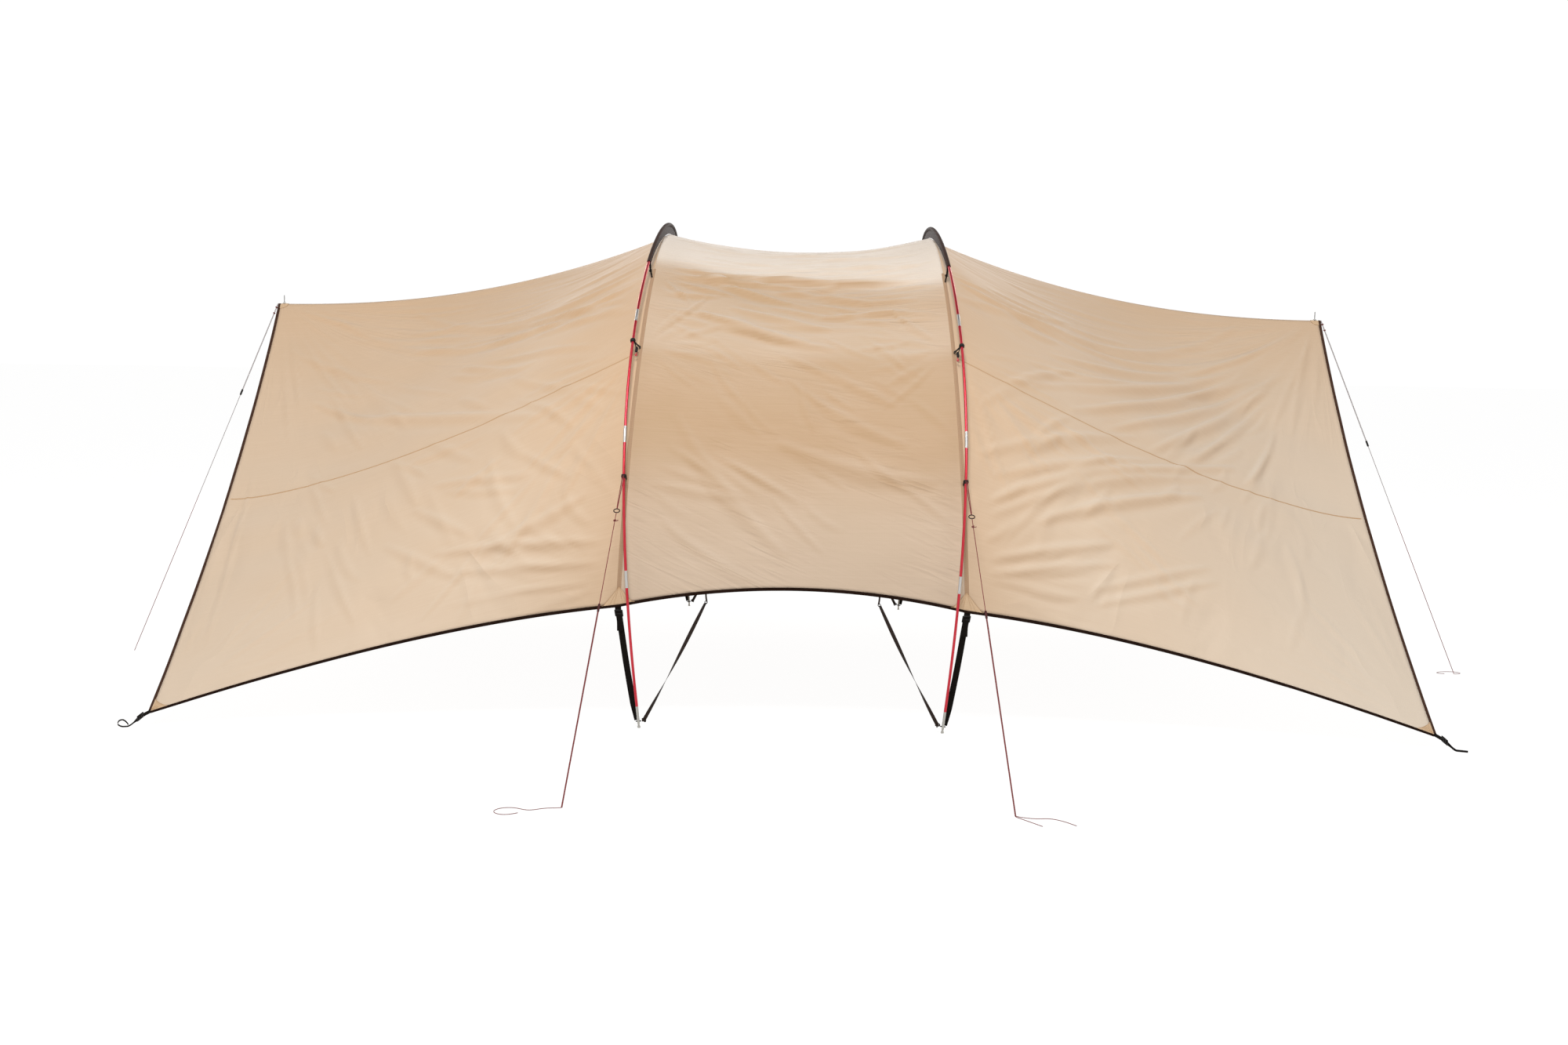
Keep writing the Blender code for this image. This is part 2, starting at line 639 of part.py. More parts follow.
def build_uprights():
    """Turned upright poles with a spike through the ridge end."""
    shoulder = RIDGE_END_Z - UPRIGHT_SHOULDER_DROP
    top = RIDGE_END_Z + UPRIGHT_SPIKE_RISE
    profile = [(0, top), (UPRIGHT_SPIKE_POINT_RADIUS, top),
               (UPRIGHT_SPIKE_RADIUS, top - UPRIGHT_SPIKE_TAPER),
               (UPRIGHT_SPIKE_RADIUS, shoulder), (UPRIGHT_UPPER_RADIUS, shoulder),
               (UPRIGHT_UPPER_RADIUS, UPRIGHT_STEP_HEIGHT), (UPRIGHT_LOWER_RADIUS, UPRIGHT_STEP_HEIGHT),
               (UPRIGHT_LOWER_RADIUS, UPRIGHT_FOOT_HEIGHT), (UPRIGHT_FOOT_RADIUS, UPRIGHT_FOOT_HEIGHT),
               (UPRIGHT_FOOT_RADIUS, 0), (0, 0)]
    for name, side in (("upright_pole_left", -1), ("upright_pole_right", 1)):
        mesh = bpy.data.meshes.new(name)
        points = [(radius, 0.0, height) for radius, height in profile]
        mesh.from_pydata(points, [(n, n + 1) for n in range(len(points) - 1)], [])
        pole = add_object(name, mesh, "bare_aluminium")
        pole.location.x = side * UPRIGHT_X
        turn = pole.modifiers.new("turned", "SCREW")
        turn.steps = UPRIGHT_SIDES
        turn.render_steps = UPRIGHT_SIDES
        turn.use_merge_vertices = True
        turn.merge_threshold = WELD_DISTANCE


def strap_mesh(name, path, across, width):
    """Open band along a path; across gives the direction of its width at each point."""
    points = np.stack([path - across * width / 2, path + across * width / 2])
    return grid_mesh(name, points)


def hem_hang(sign, k):
    """Hem point of the vault, the way down along the fabric there, and the way to its inside."""
    v = sign * vault_hem(k)
    hem = vault_point(v, k)
    down = unit(hem - vault_point(v - sign * HANG_LOOK, k))
    _, y, z = canopy_at_arch(v, CANOPY_GAP + HANG_LOOK)
    _, y_on, z_on = canopy_at_arch(v)
    inside = unit(np.array([0.0, y - y_on, z - z_on]))
    return hem, down, inside


def build_foot_straps():
    """Webbing sewn behind the hem at each arch, through a ladder lock, down to the pole tip."""
    for end_word, side in (("left", -1), ("right", 1)):
        for word, sign in (("near", -1), ("far", 1)):
            name = "foot_strap_%s_%s" % (word, end_word)
            hem, down, inside = hem_hang(sign, float(side))
            sewn = hem + inside * FOOT_STRAP_INSET - down * STRAP_SEWN_LENGTH
            clear = hem + inside * FOOT_STRAP_INSET + down * (BINDING_WIDTH + LOCK_DROP)
            foot = np.array(pole_point(sign * ARCH_HALF_LENGTH, side))
            foot[2] = FOOT_HEIGHT + TOUCH + WEBBING_THICKNESS
            foot = foot + np.array([side * (TIP_RADIUS + STRAP_CLEARANCE + WEBBING_WIDTH / 2), 0.0, 0.0])
            path = np.stack([sewn, clear, (clear + foot) / 2, foot])
            across = np.tile(np.array([[1.0, 0.0, 0.0]]), (len(path), 1))
            strap = add_object(name, strap_mesh(name, path, across, WEBBING_WIDTH), "black_webbing")
            add_solidify(strap, WEBBING_THICKNESS)
            lean = unit(foot - clear)
            middle = clear + lean * (LADDER_LOCK[1] / 2 + LOCK_LEAD)
            lock = box_mesh(name + "_lock", (LADDER_LOCK[0], LADDER_LOCK[2], LADDER_LOCK[1]),
                            axis_matrix(middle, lean, across[0]))
            add_boolean(strap, add_cutter(name + "_lock", lock), "UNION")


def build_braces():
    """Slim twisted straps from the hem of the vault down to the pole tips."""
    for end_word, side in (("left", -1), ("right", 1)):
        for word, sign in (("near", -1), ("far", 1)):
            name = "brace_strap_%s_%s" % (word, end_word)
            hem, down, inside = hem_hang(sign, side * BRACE_HEM_K)
            sewn = hem + inside * BRACE_INSET - down * STRAP_SEWN_LENGTH
            clear = hem + inside * BRACE_INSET + down * (BINDING_WIDTH + BRACE_WIDTH)
            foot = np.array(pole_point(sign * ARCH_HALF_LENGTH, side))
            foot[2] = FOOT_HEIGHT + BRACE_FOOT_RISE
            foot = foot - np.array([side * (TIP_RADIUS + STRAP_CLEARANCE + BRACE_WIDTH / 2), 0.0, 0.0])
            share = np.linspace(0, 1, BRACE_STEPS)[:, None]
            path = np.concatenate([[sewn], clear + (foot - clear) * share])
            lean = unit(foot - clear)
            flat = unit(np.array([1.0, 0.0, 0.0]) - lean[0] * lean)
            edge = np.cross(lean, flat)
            turn = math.pi * share
            across = np.concatenate([[flat], flat * np.cos(turn) + edge * np.sin(turn)])
            strap = add_object(name, strap_mesh(name, path, across, BRACE_WIDTH), "black_webbing")
            add_solidify(strap, BRACE_THICKNESS)


def build_corner_straps():
    """Webbing from each corner through a ladder lock to a loop on the ground."""
    for end_word, side in (("left", -1), ("right", 1)):
        for word, sign in (("near", -1), ("far", 1)):
            name = "corner_strap_%s_%s" % (word, end_word)
            corner = wing_point(sign * 1.0, 1.0, side)
            out = np.array([side * (PEG_LOOP_X - CORNER_X), sign * (PEG_LOOP_Y - CORNER_Y), 0.0])
            flat = unit(np.array([-out[1], out[0], 0.0]))
            ground = WEBBING_THICKNESS / 2 + TOUCH
            path = corner + out * np.array(CORNER_STRAP_SHARES)[:, None]
            path[:, 2] = np.maximum(np.array(CORNER_STRAP_HEIGHTS), ground)
            across = np.tile(flat, (len(path), 1))
            strap = add_object(name, strap_mesh(name, path, across, WEBBING_WIDTH), "black_webbing")
            add_solidify(strap, WEBBING_THICKNESS)
            middle = (path[1] + path[2]) / 2
            lean = unit(path[2] - path[1])
            lock = box_mesh(name + "_lock", (LADDER_LOCK[0], LADDER_LOCK[2], LADDER_LOCK[1]),
                            axis_matrix(middle, lean, flat))
            add_boolean(strap, add_cutter(name + "_lock", lock), "UNION")


def add_guy(name, parts):
    """One guy line: its tubes, ring and runner joined into one piece."""
    first, *others = parts
    guy = add_object(name, first, "guy_cord")
    for number, mesh in enumerate(others):
        add_boolean(guy, add_cutter("%s_join_%d" % (name, number), mesh), "UNION")


def build_arch_guys():
    """Guy lines from the lower clips to the ground, each with a ring and a runner."""
    arc = CLIP_ARCS["lower"]
    for end_word, side in (("left", -1), ("right", 1)):
        for word, sign in (("near", -1), ("far", 1)):
            name = "arch_guy_%s_%s" % (word, end_word)
            place, along, inward, _ = arch_frame(sign * arc, side)
            clip_reach = POLE_RADIUS + TOUCH + 2 * CLIP_WIRE_RADIUS
            peg = np.array([side * ARCH_PEG[0], sign * ARCH_PEG[1], GUY_RADIUS + TOUCH])
            start = place - inward * (clip_reach + GUY_BITE)
            lean = unit(peg - start)
            ring_centre = start + lean * GUY_RING_DROP
            ring_top = ring_centre - lean * GUY_RING_MAJOR
            ring_foot = ring_centre + lean * GUY_RING_MAJOR
            runner_centre = ring_foot + lean * ARCH_RUNNER_FROM_RING
            across = unit(np.cross(lean, np.array([1.0, 0.0, 0.0])))
            upper = tube_mesh(name, [start, ring_top], [GUY_RADIUS] * 2)
            lower = tube_mesh(name, [ring_foot, peg], [GUY_RADIUS] * 2)
            ring = torus_mesh(name, GUY_RING_MAJOR, GUY_RING_MINOR, axis_matrix(ring_centre, across))
            runner = box_mesh(name, RUNNER, axis_matrix(runner_centre, lean))
            add_guy(name, [ring, upper, lower, runner])


def build_ridge_guys():
    """Guy lines from the ridge ends to the ground, each with a runner."""
    for end_word, side in (("left", -1), ("right", 1)):
        name = "ridge_guy_" + end_word
        start = np.array([side * (RIDGE_END_X + BINDING_WIDTH + GUY_RADIUS + TOUCH), 0.0, RIDGE_END_Z])
        peg = np.array([side * RIDGE_PEG[0], -RIDGE_PEG[1], GUY_RADIUS + TOUCH])
        lean = unit(peg - start)
        line = tube_mesh(name, [start, peg], [GUY_RADIUS] * 2)
        runner = box_mesh(name, RUNNER, axis_matrix(start + lean * RIDGE_RUNNER_FROM_TOP[end_word], lean))
        add_guy(name, [line, runner])


def smooth_path(route, count):
    """Evenly spaced points on a smooth curve through the route's points."""
    route = np.array(route, dtype=float)
    padded = np.concatenate([2 * route[:1] - route[1:2], route, 2 * route[-1:] - route[-2:-1]])
    dense = []
    for n in range(len(route) - 1):
        a, b, c, d = padded[n:n + 4]
        u = np.linspace(0, 1, SPAN_STEPS, endpoint=False)[:, None]
        dense.append(0.5 * (2 * b + (c - a) * u + (2 * a - 5 * b + 4 * c - d) * u ** 2
                            + (3 * b - a - 3 * c + d) * u ** 3))
    dense = np.concatenate(dense + [route[-1:]])
    walk = np.concatenate([[0.0], np.cumsum(np.linalg.norm(np.diff(dense, axis=0), axis=1))])
    even = np.linspace(0, walk[-1], count)
    return np.stack([np.interp(even, walk, dense[:, n]) for n in range(3)], axis=-1)


def build_tails():
    """Loose guy ends lying on the ground from the foot of each guy."""
    for name, (side, sign, pair, steps) in TAILS.items():
        start = np.array([side * ARCH_PEG[0] + pair * TAIL_PAIR_OFFSET,
                          sign * (ARCH_PEG[1] + TAIL_START), TAIL_HEIGHT])
        route = [start] + [start + np.array([dx, dy, 0.0]) for dx, dy in steps]
        path = smooth_path(route, TAIL_POINTS)
        add_object(name, tube_mesh(name, path, [GUY_RADIUS] * len(path)), "guy_cord")
    start = np.array([RIDGE_PEG[0] + TAIL_START, -RIDGE_PEG[1], TAIL_HEIGHT])
    path = smooth_path([start] + [start + np.array([dx, dy, 0.0]) for dx, dy in RIDGE_TAIL], TAIL_POINTS)
    add_object("tail_ridge_right", tube_mesh("tail_ridge_right", path, [GUY_RADIUS] * len(path)), "guy_cord")


build_vault_panels()
build_wing_panels()
build_hem_bindings()
build_edge_bindings()
build_arch_poles()
build_pole_tips()
build_sleeves()
build_clips()
build_uprights()
build_foot_straps()
build_braces()
build_corner_straps()
build_arch_guys()
build_ridge_guys()
build_tails()
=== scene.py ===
"""Looks of a tarp tent: its cloth, poles, webbing and cords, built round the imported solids."""
from __future__ import annotations

import logging
import math
from dataclasses import dataclass, field
from enum import Enum
from functools import cached_property
from typing import Any, Iterable, Sequence

import bpy
import numpy as np
from bpy.types import Material, Mesh, Node, NodeSocket, NodeTree, Object
from mathutils import Matrix

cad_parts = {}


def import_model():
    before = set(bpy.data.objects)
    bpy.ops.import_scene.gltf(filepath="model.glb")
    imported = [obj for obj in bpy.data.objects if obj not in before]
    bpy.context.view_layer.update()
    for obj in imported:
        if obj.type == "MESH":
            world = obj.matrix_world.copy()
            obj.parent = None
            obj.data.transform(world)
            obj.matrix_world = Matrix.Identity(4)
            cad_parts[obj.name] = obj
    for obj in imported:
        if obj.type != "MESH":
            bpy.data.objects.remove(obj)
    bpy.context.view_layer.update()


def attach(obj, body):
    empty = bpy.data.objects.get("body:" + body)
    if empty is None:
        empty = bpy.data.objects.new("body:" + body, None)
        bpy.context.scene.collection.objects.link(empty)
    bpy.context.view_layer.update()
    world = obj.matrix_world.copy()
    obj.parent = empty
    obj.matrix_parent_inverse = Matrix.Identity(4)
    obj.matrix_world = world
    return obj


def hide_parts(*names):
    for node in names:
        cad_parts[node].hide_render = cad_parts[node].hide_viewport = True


LOG = logging.getLogger("tarp_tent")
Array = np.ndarray
MM = 0.001
BODY = "root"
SHARP_ANGLE = math.radians(38)
LEVEL_X = (1.0, 0.0, 0.0)
WHITE = (1.0, 1.0, 1.0, 1.0)
# Direction that no cord or stitch runs along, so that a round tube's frame never flips.
AWRY = (0.31, 0.90, 0.30)


class Choice(Enum):
    """Named choice, whose word is in the names of pieces."""

    @property
    def word(self) -> str:
        """Word that names carry."""
        return self.name.lower()


class End(Choice):
    """Wing end of the tent, by its sign in X."""

    LEFT = -1
    RIGHT = 1


class Side(Choice):
    """Long side of the tent, by its sign in Y."""

    NEAR = -1
    FAR = 1


class Level(Choice):
    """Height of a hook on its pole."""

    LOWER = 0
    UPPER = 1


CORNERS = [(side, end) for end in End for side in Side]


def named(kind: str, side: Side, end: End) -> str:
    """Name of a piece at one corner."""
    return "%s_%s_%s" % (kind, side.word, end.word)


# Arrays and meshes


def unit(vectors: Array) -> Array:
    """Vectors scaled to length one along the last axis."""
    vectors = np.asarray(vectors, dtype=float)
    return vectors / np.maximum(np.linalg.norm(vectors, axis=-1, keepdims=True), 1e-12)


def walked(path: Array) -> Array:
    """Length of a path from its start to each of its points."""
    return np.concatenate([[0.0], np.cumsum(np.linalg.norm(np.diff(path, axis=0), axis=1))])


def bump_over(share: Array) -> Array:
    """Smooth hump: nought outside 0 to 1, and one in the middle."""
    return np.sin(np.pi * np.clip(share, 0.0, 1.0))


def rise_over(distance: Array, reach: float) -> Array:
    """Smooth start: nought at no distance, and close to one beyond the reach."""
    return 1.0 - np.exp(-((distance / reach) ** 2))


@dataclass
class Shell:
    """Points, four-sided faces with their UV corners in metres, and end caps of one closed shape."""

    points: Array
    quads: Array
    corner_uv: Array
    caps: list[list[int]] = field(default_factory=list)

    def turned(self, turn: bool = True) -> Shell:
        """The shape with its faces turned over, where that is asked."""
        return Shell(self.points, self.quads[:, ::-1], self.corner_uv[:, ::-1],
                     [cap[::-1] for cap in self.caps]) if turn else self


def grid_shell(points: Array, uv: Array, flip: bool = False) -> Shell:
    """Open sheet through rows and columns of points.

    Args:
        points: Array of rows by columns by 3.
        uv: Array of rows by columns by 2, in metres.
        flip: Turn the faces to the other side.

    Returns:
        The sheet.
    """
    rows, columns, _ = points.shape
    index = np.arange(rows * columns).reshape(rows, columns)
    first, second = slice(None, -1), slice(1, None)
    corner = [(first, first), (first, second), (second, second), (second, first)]
    quads = np.stack([index[c] for c in corner], axis=-1).reshape(-1, 4)
    corner_uv = np.stack([uv[c] for c in corner], axis=-2).reshape(-1, 4, 2)
    return Shell(points.reshape(-1, 3), quads, corner_uv).turned(flip)


def skin(points: Array, along: Array, around: Array, loop: bool = False) -> Shell:
    """Closed skin over rows of points, where each row is a closed outline.

    Args:
        points: Array of n rows by m by 3.
        along: Metres to each of the n rows.
        around: Metres to each of the m points of a row, and back to the first.
        loop: Join the last row to the first in place of capping both.

    Returns:
        The closed shape.
    """
    n, m, _ = points.shape
    row = np.arange(n if loop else n - 1)[:, None]
    column = np.arange(m)[None, :]
    after, beside = (row + 1) % n, (column + 1) % m
    quads = np.stack(np.broadcast_arrays(row * m + column, row * m + beside, after * m + beside,
                                         after * m + column), axis=-1)
    far = np.append(along, along[-1] + (along[1] - along[0]))
    u, v = np.broadcast_arrays(
        np.stack([far[row], far[row], far[row + 1], far[row + 1]], axis=-1),
        np.stack([around[column], around[column + 1], around[column + 1], around[column]], axis=-1))
    caps = [] if loop else [list(range(m))[::-1], list(range((n - 1) * m, n * m))]
    return Shell(points.reshape(-1, 3), quads.reshape(-1, 4), np.stack([u, v], axis=-1).reshape(-1, 4, 2),
                 caps)


def sweep(path: Array, profile: Array, side: Array, up: Array,
          scale: Array | float = 1.0, loop: bool = False) -> Shell:
    """Closed profile carried along a path.

    A point is the path's point, plus the profile's first number along side and its second along up,
    both times the scale at that point of the path.

    Args:
        path: Array of n by 3.
        profile: Closed outline of m by 2, turning from side towards up.
        side: Directions of the profile's first axis, n by 3.
        up: Directions of the profile's second axis, n by 3.
        scale: One number, or n of them, or n by 2.
        loop: Join the path's end to its start in place of capping both.

    Returns:
        The closed shape.
    """
    scale = np.asarray(scale, dtype=float)
    grow = np.ones((len(path), 2)) * (scale[:, None] if scale.ndim == 1 else scale)
    spread = profile[None, :, :] * grow[:, None, :]
    points = path[:, None, :] + spread[..., :1] * side[:, None, :] + spread[..., 1:] * up[:, None, :]
    return skin(points, walked(path), walked(np.concatenate([profile, profile[:1]])), loop)


def circle(radius: float, sides: int) -> Array:
    """Round outline with a number of sides."""
    angle = np.linspace(0, 2 * np.pi, sides, endpoint=False)
    return radius * np.stack([np.cos(angle), np.sin(angle)], axis=-1)


def rounded_bar(width: float, height: float, power: float = 4.0, sides: int = 20) -> Array:
    """Outline of a bar with rounded edges: a superellipse, so that |x/w|^p + |y/h|^p = 1."""
    turn = circle(1.0, sides)
    return np.sign(turn) * np.abs(turn) ** (2 / power) * np.array([width, height]) / 2


def frames(path: Array, reference: Sequence[float]) -> tuple[Array, Array]:
    """Side and up directions across a path, with side kept close to a reference direction.

    Args:
        path: Array of n by 3.
        reference: One direction, or n of them.

    Returns:
        The side and the up directions, both n by 3, so that side x up runs along the path.
    """
    along = unit(np.gradient(path, axis=0))
    reference = np.broadcast_to(np.asarray(reference, dtype=float), path.shape)
    side = unit(reference - np.sum(reference * along, axis=-1, keepdims=True) * along)
    return side, np.cross(along, side)


def bar(path: Array, outline: Array, reference: Sequence[float],
        scale: Array | float = 1.0) -> Shell:
    """Outline carried along a path, with its first axis close to a reference direction."""
    return sweep(path, outline, *frames(path, reference), scale)


def tube(path: Array, radius: float, sides: int = 10) -> Shell:
    """Round closed tube along a path."""
    return bar(path, circle(radius, sides), AWRY)


def straight(start: Array, end: Array, count: int) -> Array:
    """Evenly spaced points from a start to an end."""
    share = np.linspace(0, 1, count)[:, None]
    return np.asarray(start) + (np.asarray(end) - np.asarray(start)) * share


def pillow(place: Array, axis: Array, across: Array,
           size: tuple[float, float, float]) -> Shell:
    """Moulded block with every edge rounded: a rounded bar whose ends close in a quarter round.

    Args:
        place: Centre.
        axis: Direction of its length.
        across: Direction of its width.
        size: Width, height and length.

    Returns:
        The closed block.
    """
    rings, close = 9, 6.0
    share = np.sin(np.linspace(-0.5, 0.5, rings) * np.pi)
    path = np.asarray(place) + unit(axis) * (share[:, None] * size[2] / 2)
    scale = np.clip(1 - np.abs(share) ** close, 0.02, 1) ** (1 / close)
    return bar(path, rounded_bar(size[0], size[1]), across, scale)


def ring(place: Array, axis: Array, major: float, minor: float, stretch: float = 1.0) -> Shell:
    """Ring about an axis.

    Args:
        place: Centre.
        axis: Direction through the hole.
        major: Radius of its middle line.
        minor: Radius of its wire.
        stretch: Factor on one diameter, for an oval.

    Returns:
        The closed ring.
    """
    axis = unit(axis)
    first = unit(np.cross(axis, [0.0, 0.13, 1.0]))
    second = np.cross(axis, first)
    turn = circle(1.0, 28)[:, :, None]
    path = np.asarray(place) + major * (first * turn[:, 0] * stretch + second * turn[:, 1])
    outward = unit(first * turn[:, 0] / stretch + second * turn[:, 1])
    return sweep(path, circle(minor, 10)[::-1], outward, np.broadcast_to(axis, path.shape), loop=True)


def curve_through(route: Sequence[Sequence[float]], count: int) -> Array:
    """Smooth curve through points, evenly spaced along its length.

    Between two points it is a cubic, whose slope at each is half the step between that point's neighbours.

    Args:
        route: Points to pass through.
        count: Number of points to return.

    Returns:
        Array of count by 3.
    """
    knots = np.array(route, dtype=float)
    padded = np.concatenate([2 * knots[:1] - knots[1:2], knots, 2 * knots[-1:] - knots[-2:-1]])
    share = np.linspace(0, 1, 24, endpoint=False)[None, :, None]
    a, b, c, d = (padded[n:n + len(knots) - 1, None, :] for n in range(4))
    dense = 0.5 * (2 * b + (c - a) * share + (2 * a - 5 * b + 4 * c - d) * share ** 2
                   + (3 * b - a - 3 * c + d) * share ** 3)
    dense = np.concatenate([dense.reshape(-1, 3), knots[-1:]])
    walk = walked(dense)
    even = np.linspace(0, walk[-1], count)
    return np.stack([np.interp(even, walk, dense[:, axis]) for axis in range(3)], axis=-1)


def knot(place: Array, axis: Array, radius: float, cord: float) -> Shell:
    """Overhand knot pulled tight: a trefoil line of cord, closed on itself.

    The line runs at (sin a + 2 sin 2a, cos a - 2 cos 2a, -sin 3a) times a third of the radius.

    Args:
        place: Centre.
        axis: Direction of the cord through the knot.
        radius: Outer size of the knot.
        cord: Radius of the cord.

    Returns:
        The closed knot.
    """
    axis = unit(axis)
    first = unit(np.cross(axis, [0.2, 0.1, 1.0]))
    second = np.cross(axis, first)
    angle = np.linspace(0, 2 * np.pi, 36, endpoint=False)[:, None]
    path = np.asarray(place) + radius / 3 * (first * (np.sin(angle) + 2 * np.sin(2 * angle))
                                             + second * (np.cos(angle) - 2 * np.cos(2 * angle))
                                             - axis * np.sin(3 * angle) * 1.2)
    ahead = np.roll(path, -1, axis=0) - np.roll(path, 1, axis=0)
    side = unit(np.cross(ahead, np.broadcast_to(axis, path.shape) + 0.1 * first))
    return sweep(path, circle(cord, 8), side, np.cross(unit(ahead), side), loop=True)


def mesh_of(name: str, shells: Iterable[Shell]) -> Mesh:
    """One mesh of several shells, with their UV map.

    Args:
        name: Name of the mesh.
        shells: Shapes to join.

    Returns:
        The mesh, smooth shaded.
    """
    shells = list(shells)
    starts = np.concatenate([[0], np.cumsum([len(s.points) for s in shells])])
    faces: list[list[int]] = []
    corners: list[Array] = []
    for start, shell in zip(starts, shells):
        faces += (shell.quads + start).tolist()
        corners.append(shell.corner_uv.reshape(-1, 2))
        for cap in shell.caps:
            faces.append([int(start) + index for index in cap])
            corners.append(np.zeros((len(cap), 2)))
    mesh = bpy.data.meshes.new(name)
    mesh.from_pydata(np.concatenate([s.points for s in shells]).tolist(), [], faces)
    layer = mesh.uv_layers.new(name="cloth")
    layer.data.foreach_set("uv", np.concatenate(corners).astype(np.float32).ravel())
    mesh.update()
    mesh.shade_smooth()
    return mesh


def place_piece(name: str, shells: Iterable[Shell], material: Material,
                stands_for: Sequence[str] = (), smooth: bool = False) -> Object:
    """Put a piece into the scene, riding on the tent.

    Args:
        name: Name of the piece.
        shells: Shapes to join in it.
        material: Its finish.
        stands_for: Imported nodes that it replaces.
        smooth: Whether its steep edges are shaded smooth too.

    Returns:
        The object.
    """
    mesh = mesh_of(name, shells)
    if not smooth:
        mesh.set_sharp_from_angle(angle=SHARP_ANGLE)
    mesh.materials.append(material)
    piece = bpy.data.objects.new(name, mesh)
    bpy.context.scene.collection.objects.link(piece)
    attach(piece, BODY)
    if stands_for:
        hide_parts(*stands_for)
    LOG.info("%s: %d faces", name, len(mesh.polygons))
    return piece


def thicken(piece: Object, thickness: float, offset: float) -> None:
    """Give a sheet its thickness.

    Args:
        piece: Sheet.
        thickness: Thickness in metres.
        offset: -1 to grow it behind its faces, 0 to grow it both ways.
    """
    step = piece.modifiers.new("thickness", "SOLIDIFY")
    step.thickness = thickness
    step.offset = offset


# Finishes


def linear(code: str) -> tuple[float, float, float, float]:
    """Linear colour of an sRGB hex code.

    Args:
        code: Code such as C0A080.

    Returns:
        Red, green, blue and one.
    """
    parts = [int(code[n:n + 2], 16) / 255 for n in (0, 2, 4)]
    red, green, blue = (c / 12.92 if c <= 0.04045 else ((c + 0.055) / 1.055) ** 2.4 for c in parts)
    return red, green, blue, 1.0


def add_node(tree: NodeTree, kind: str, settings: dict[str | int, Any] | None = None,
             links: dict[str | int, NodeSocket] | None = None) -> Node:
    """Add a node with its settings and links.

    Args:
        tree: Node tree of the material.
        kind: Type of node, without the words ShaderNode.
        settings: Values for its properties, or for its inputs by name or number.
        links: Sockets that feed its inputs, by name or number.

    Returns:
        The node.
    """
    node = tree.nodes.new("ShaderNode" + kind)
    for key, value in (settings or {}).items():
        if isinstance(key, str) and hasattr(node, key):
            setattr(node, key, value)
        else:
            node.inputs[key].default_value = value
    for key, socket in (links or {}).items():
        tree.links.new(socket, node.inputs[key])
    return node


@dataclass(frozen=True)
class Finish:
    """Base of every finish: a Principled material that goes from a base to a light colour."""

    name: str
    base: str = "808080"
    light: str = "909090"
    roughness: float = 0.6
    metallic: float = 0.0
    shine: float = 0.5
    sheen: float = 0.0

    def start(self) -> tuple[Material, NodeTree, Node]:
        """Start the material.

        Returns:
            The material, its tree, and its Principled shader set to the finish's constants.
        """
        material = bpy.data.materials.new(self.name)
        material.use_nodes = True
        tree = material.node_tree
        shader = tree.nodes["Principled BSDF"]
        for socket, value in (("Roughness", self.roughness), ("Metallic", self.metallic),
                              ("Specular IOR Level", self.shine), ("Sheen Weight", self.sheen)):
            shader.inputs[socket].default_value = value
        return material, tree, shader

    def colours(self, tree: NodeTree, pattern: NodeSocket,
                stops: Sequence[tuple[float, str]]) -> NodeSocket:
        """Colours by the value of a pattern.

        Args:
            tree: Node tree of the material.
            pattern: Value that picks the colour.
            stops: Value and hex code of each colour, two or more.

        Returns:
            The colour.
        """
        node = add_node(tree, "ValToRGB", None, {"Fac": pattern})
        ramp = node.color_ramp
        while len(ramp.elements) < len(stops):
            ramp.elements.new(0.5)
        for element, (position, code) in zip(ramp.elements, stops):
            element.position = position
            element.color = linear(code)
        return node.outputs["Color"]

    def dress(self, tree: NodeTree, shader: Node, pattern: NodeSocket, reach: tuple[float, float],
              height: NodeSocket | None = None, strength: float = 1.0, depth: float = 0.0) -> None:
        """Colour the surface by one pattern, and raise it by another.

        Args:
            tree: Node tree of the material.
            shader: Its Principled shader.
            pattern: Pattern that goes from the base to the light colour.
            reach: Its values at those two colours.
            height: Pattern that stands out as bump, if any.
            strength: Share of the bump.
            depth: Height of the bump in metres.
        """
        colour = self.colours(tree, pattern, list(zip(reach, (self.base, self.light))))
        tree.links.new(colour, shader.inputs["Base Color"])
        if height is not None:
            bump = add_node(tree, "Bump", {"Strength": strength, "Distance": depth}, {"Height": height})
            tree.links.new(bump.outputs["Normal"], shader.inputs["Normal"])


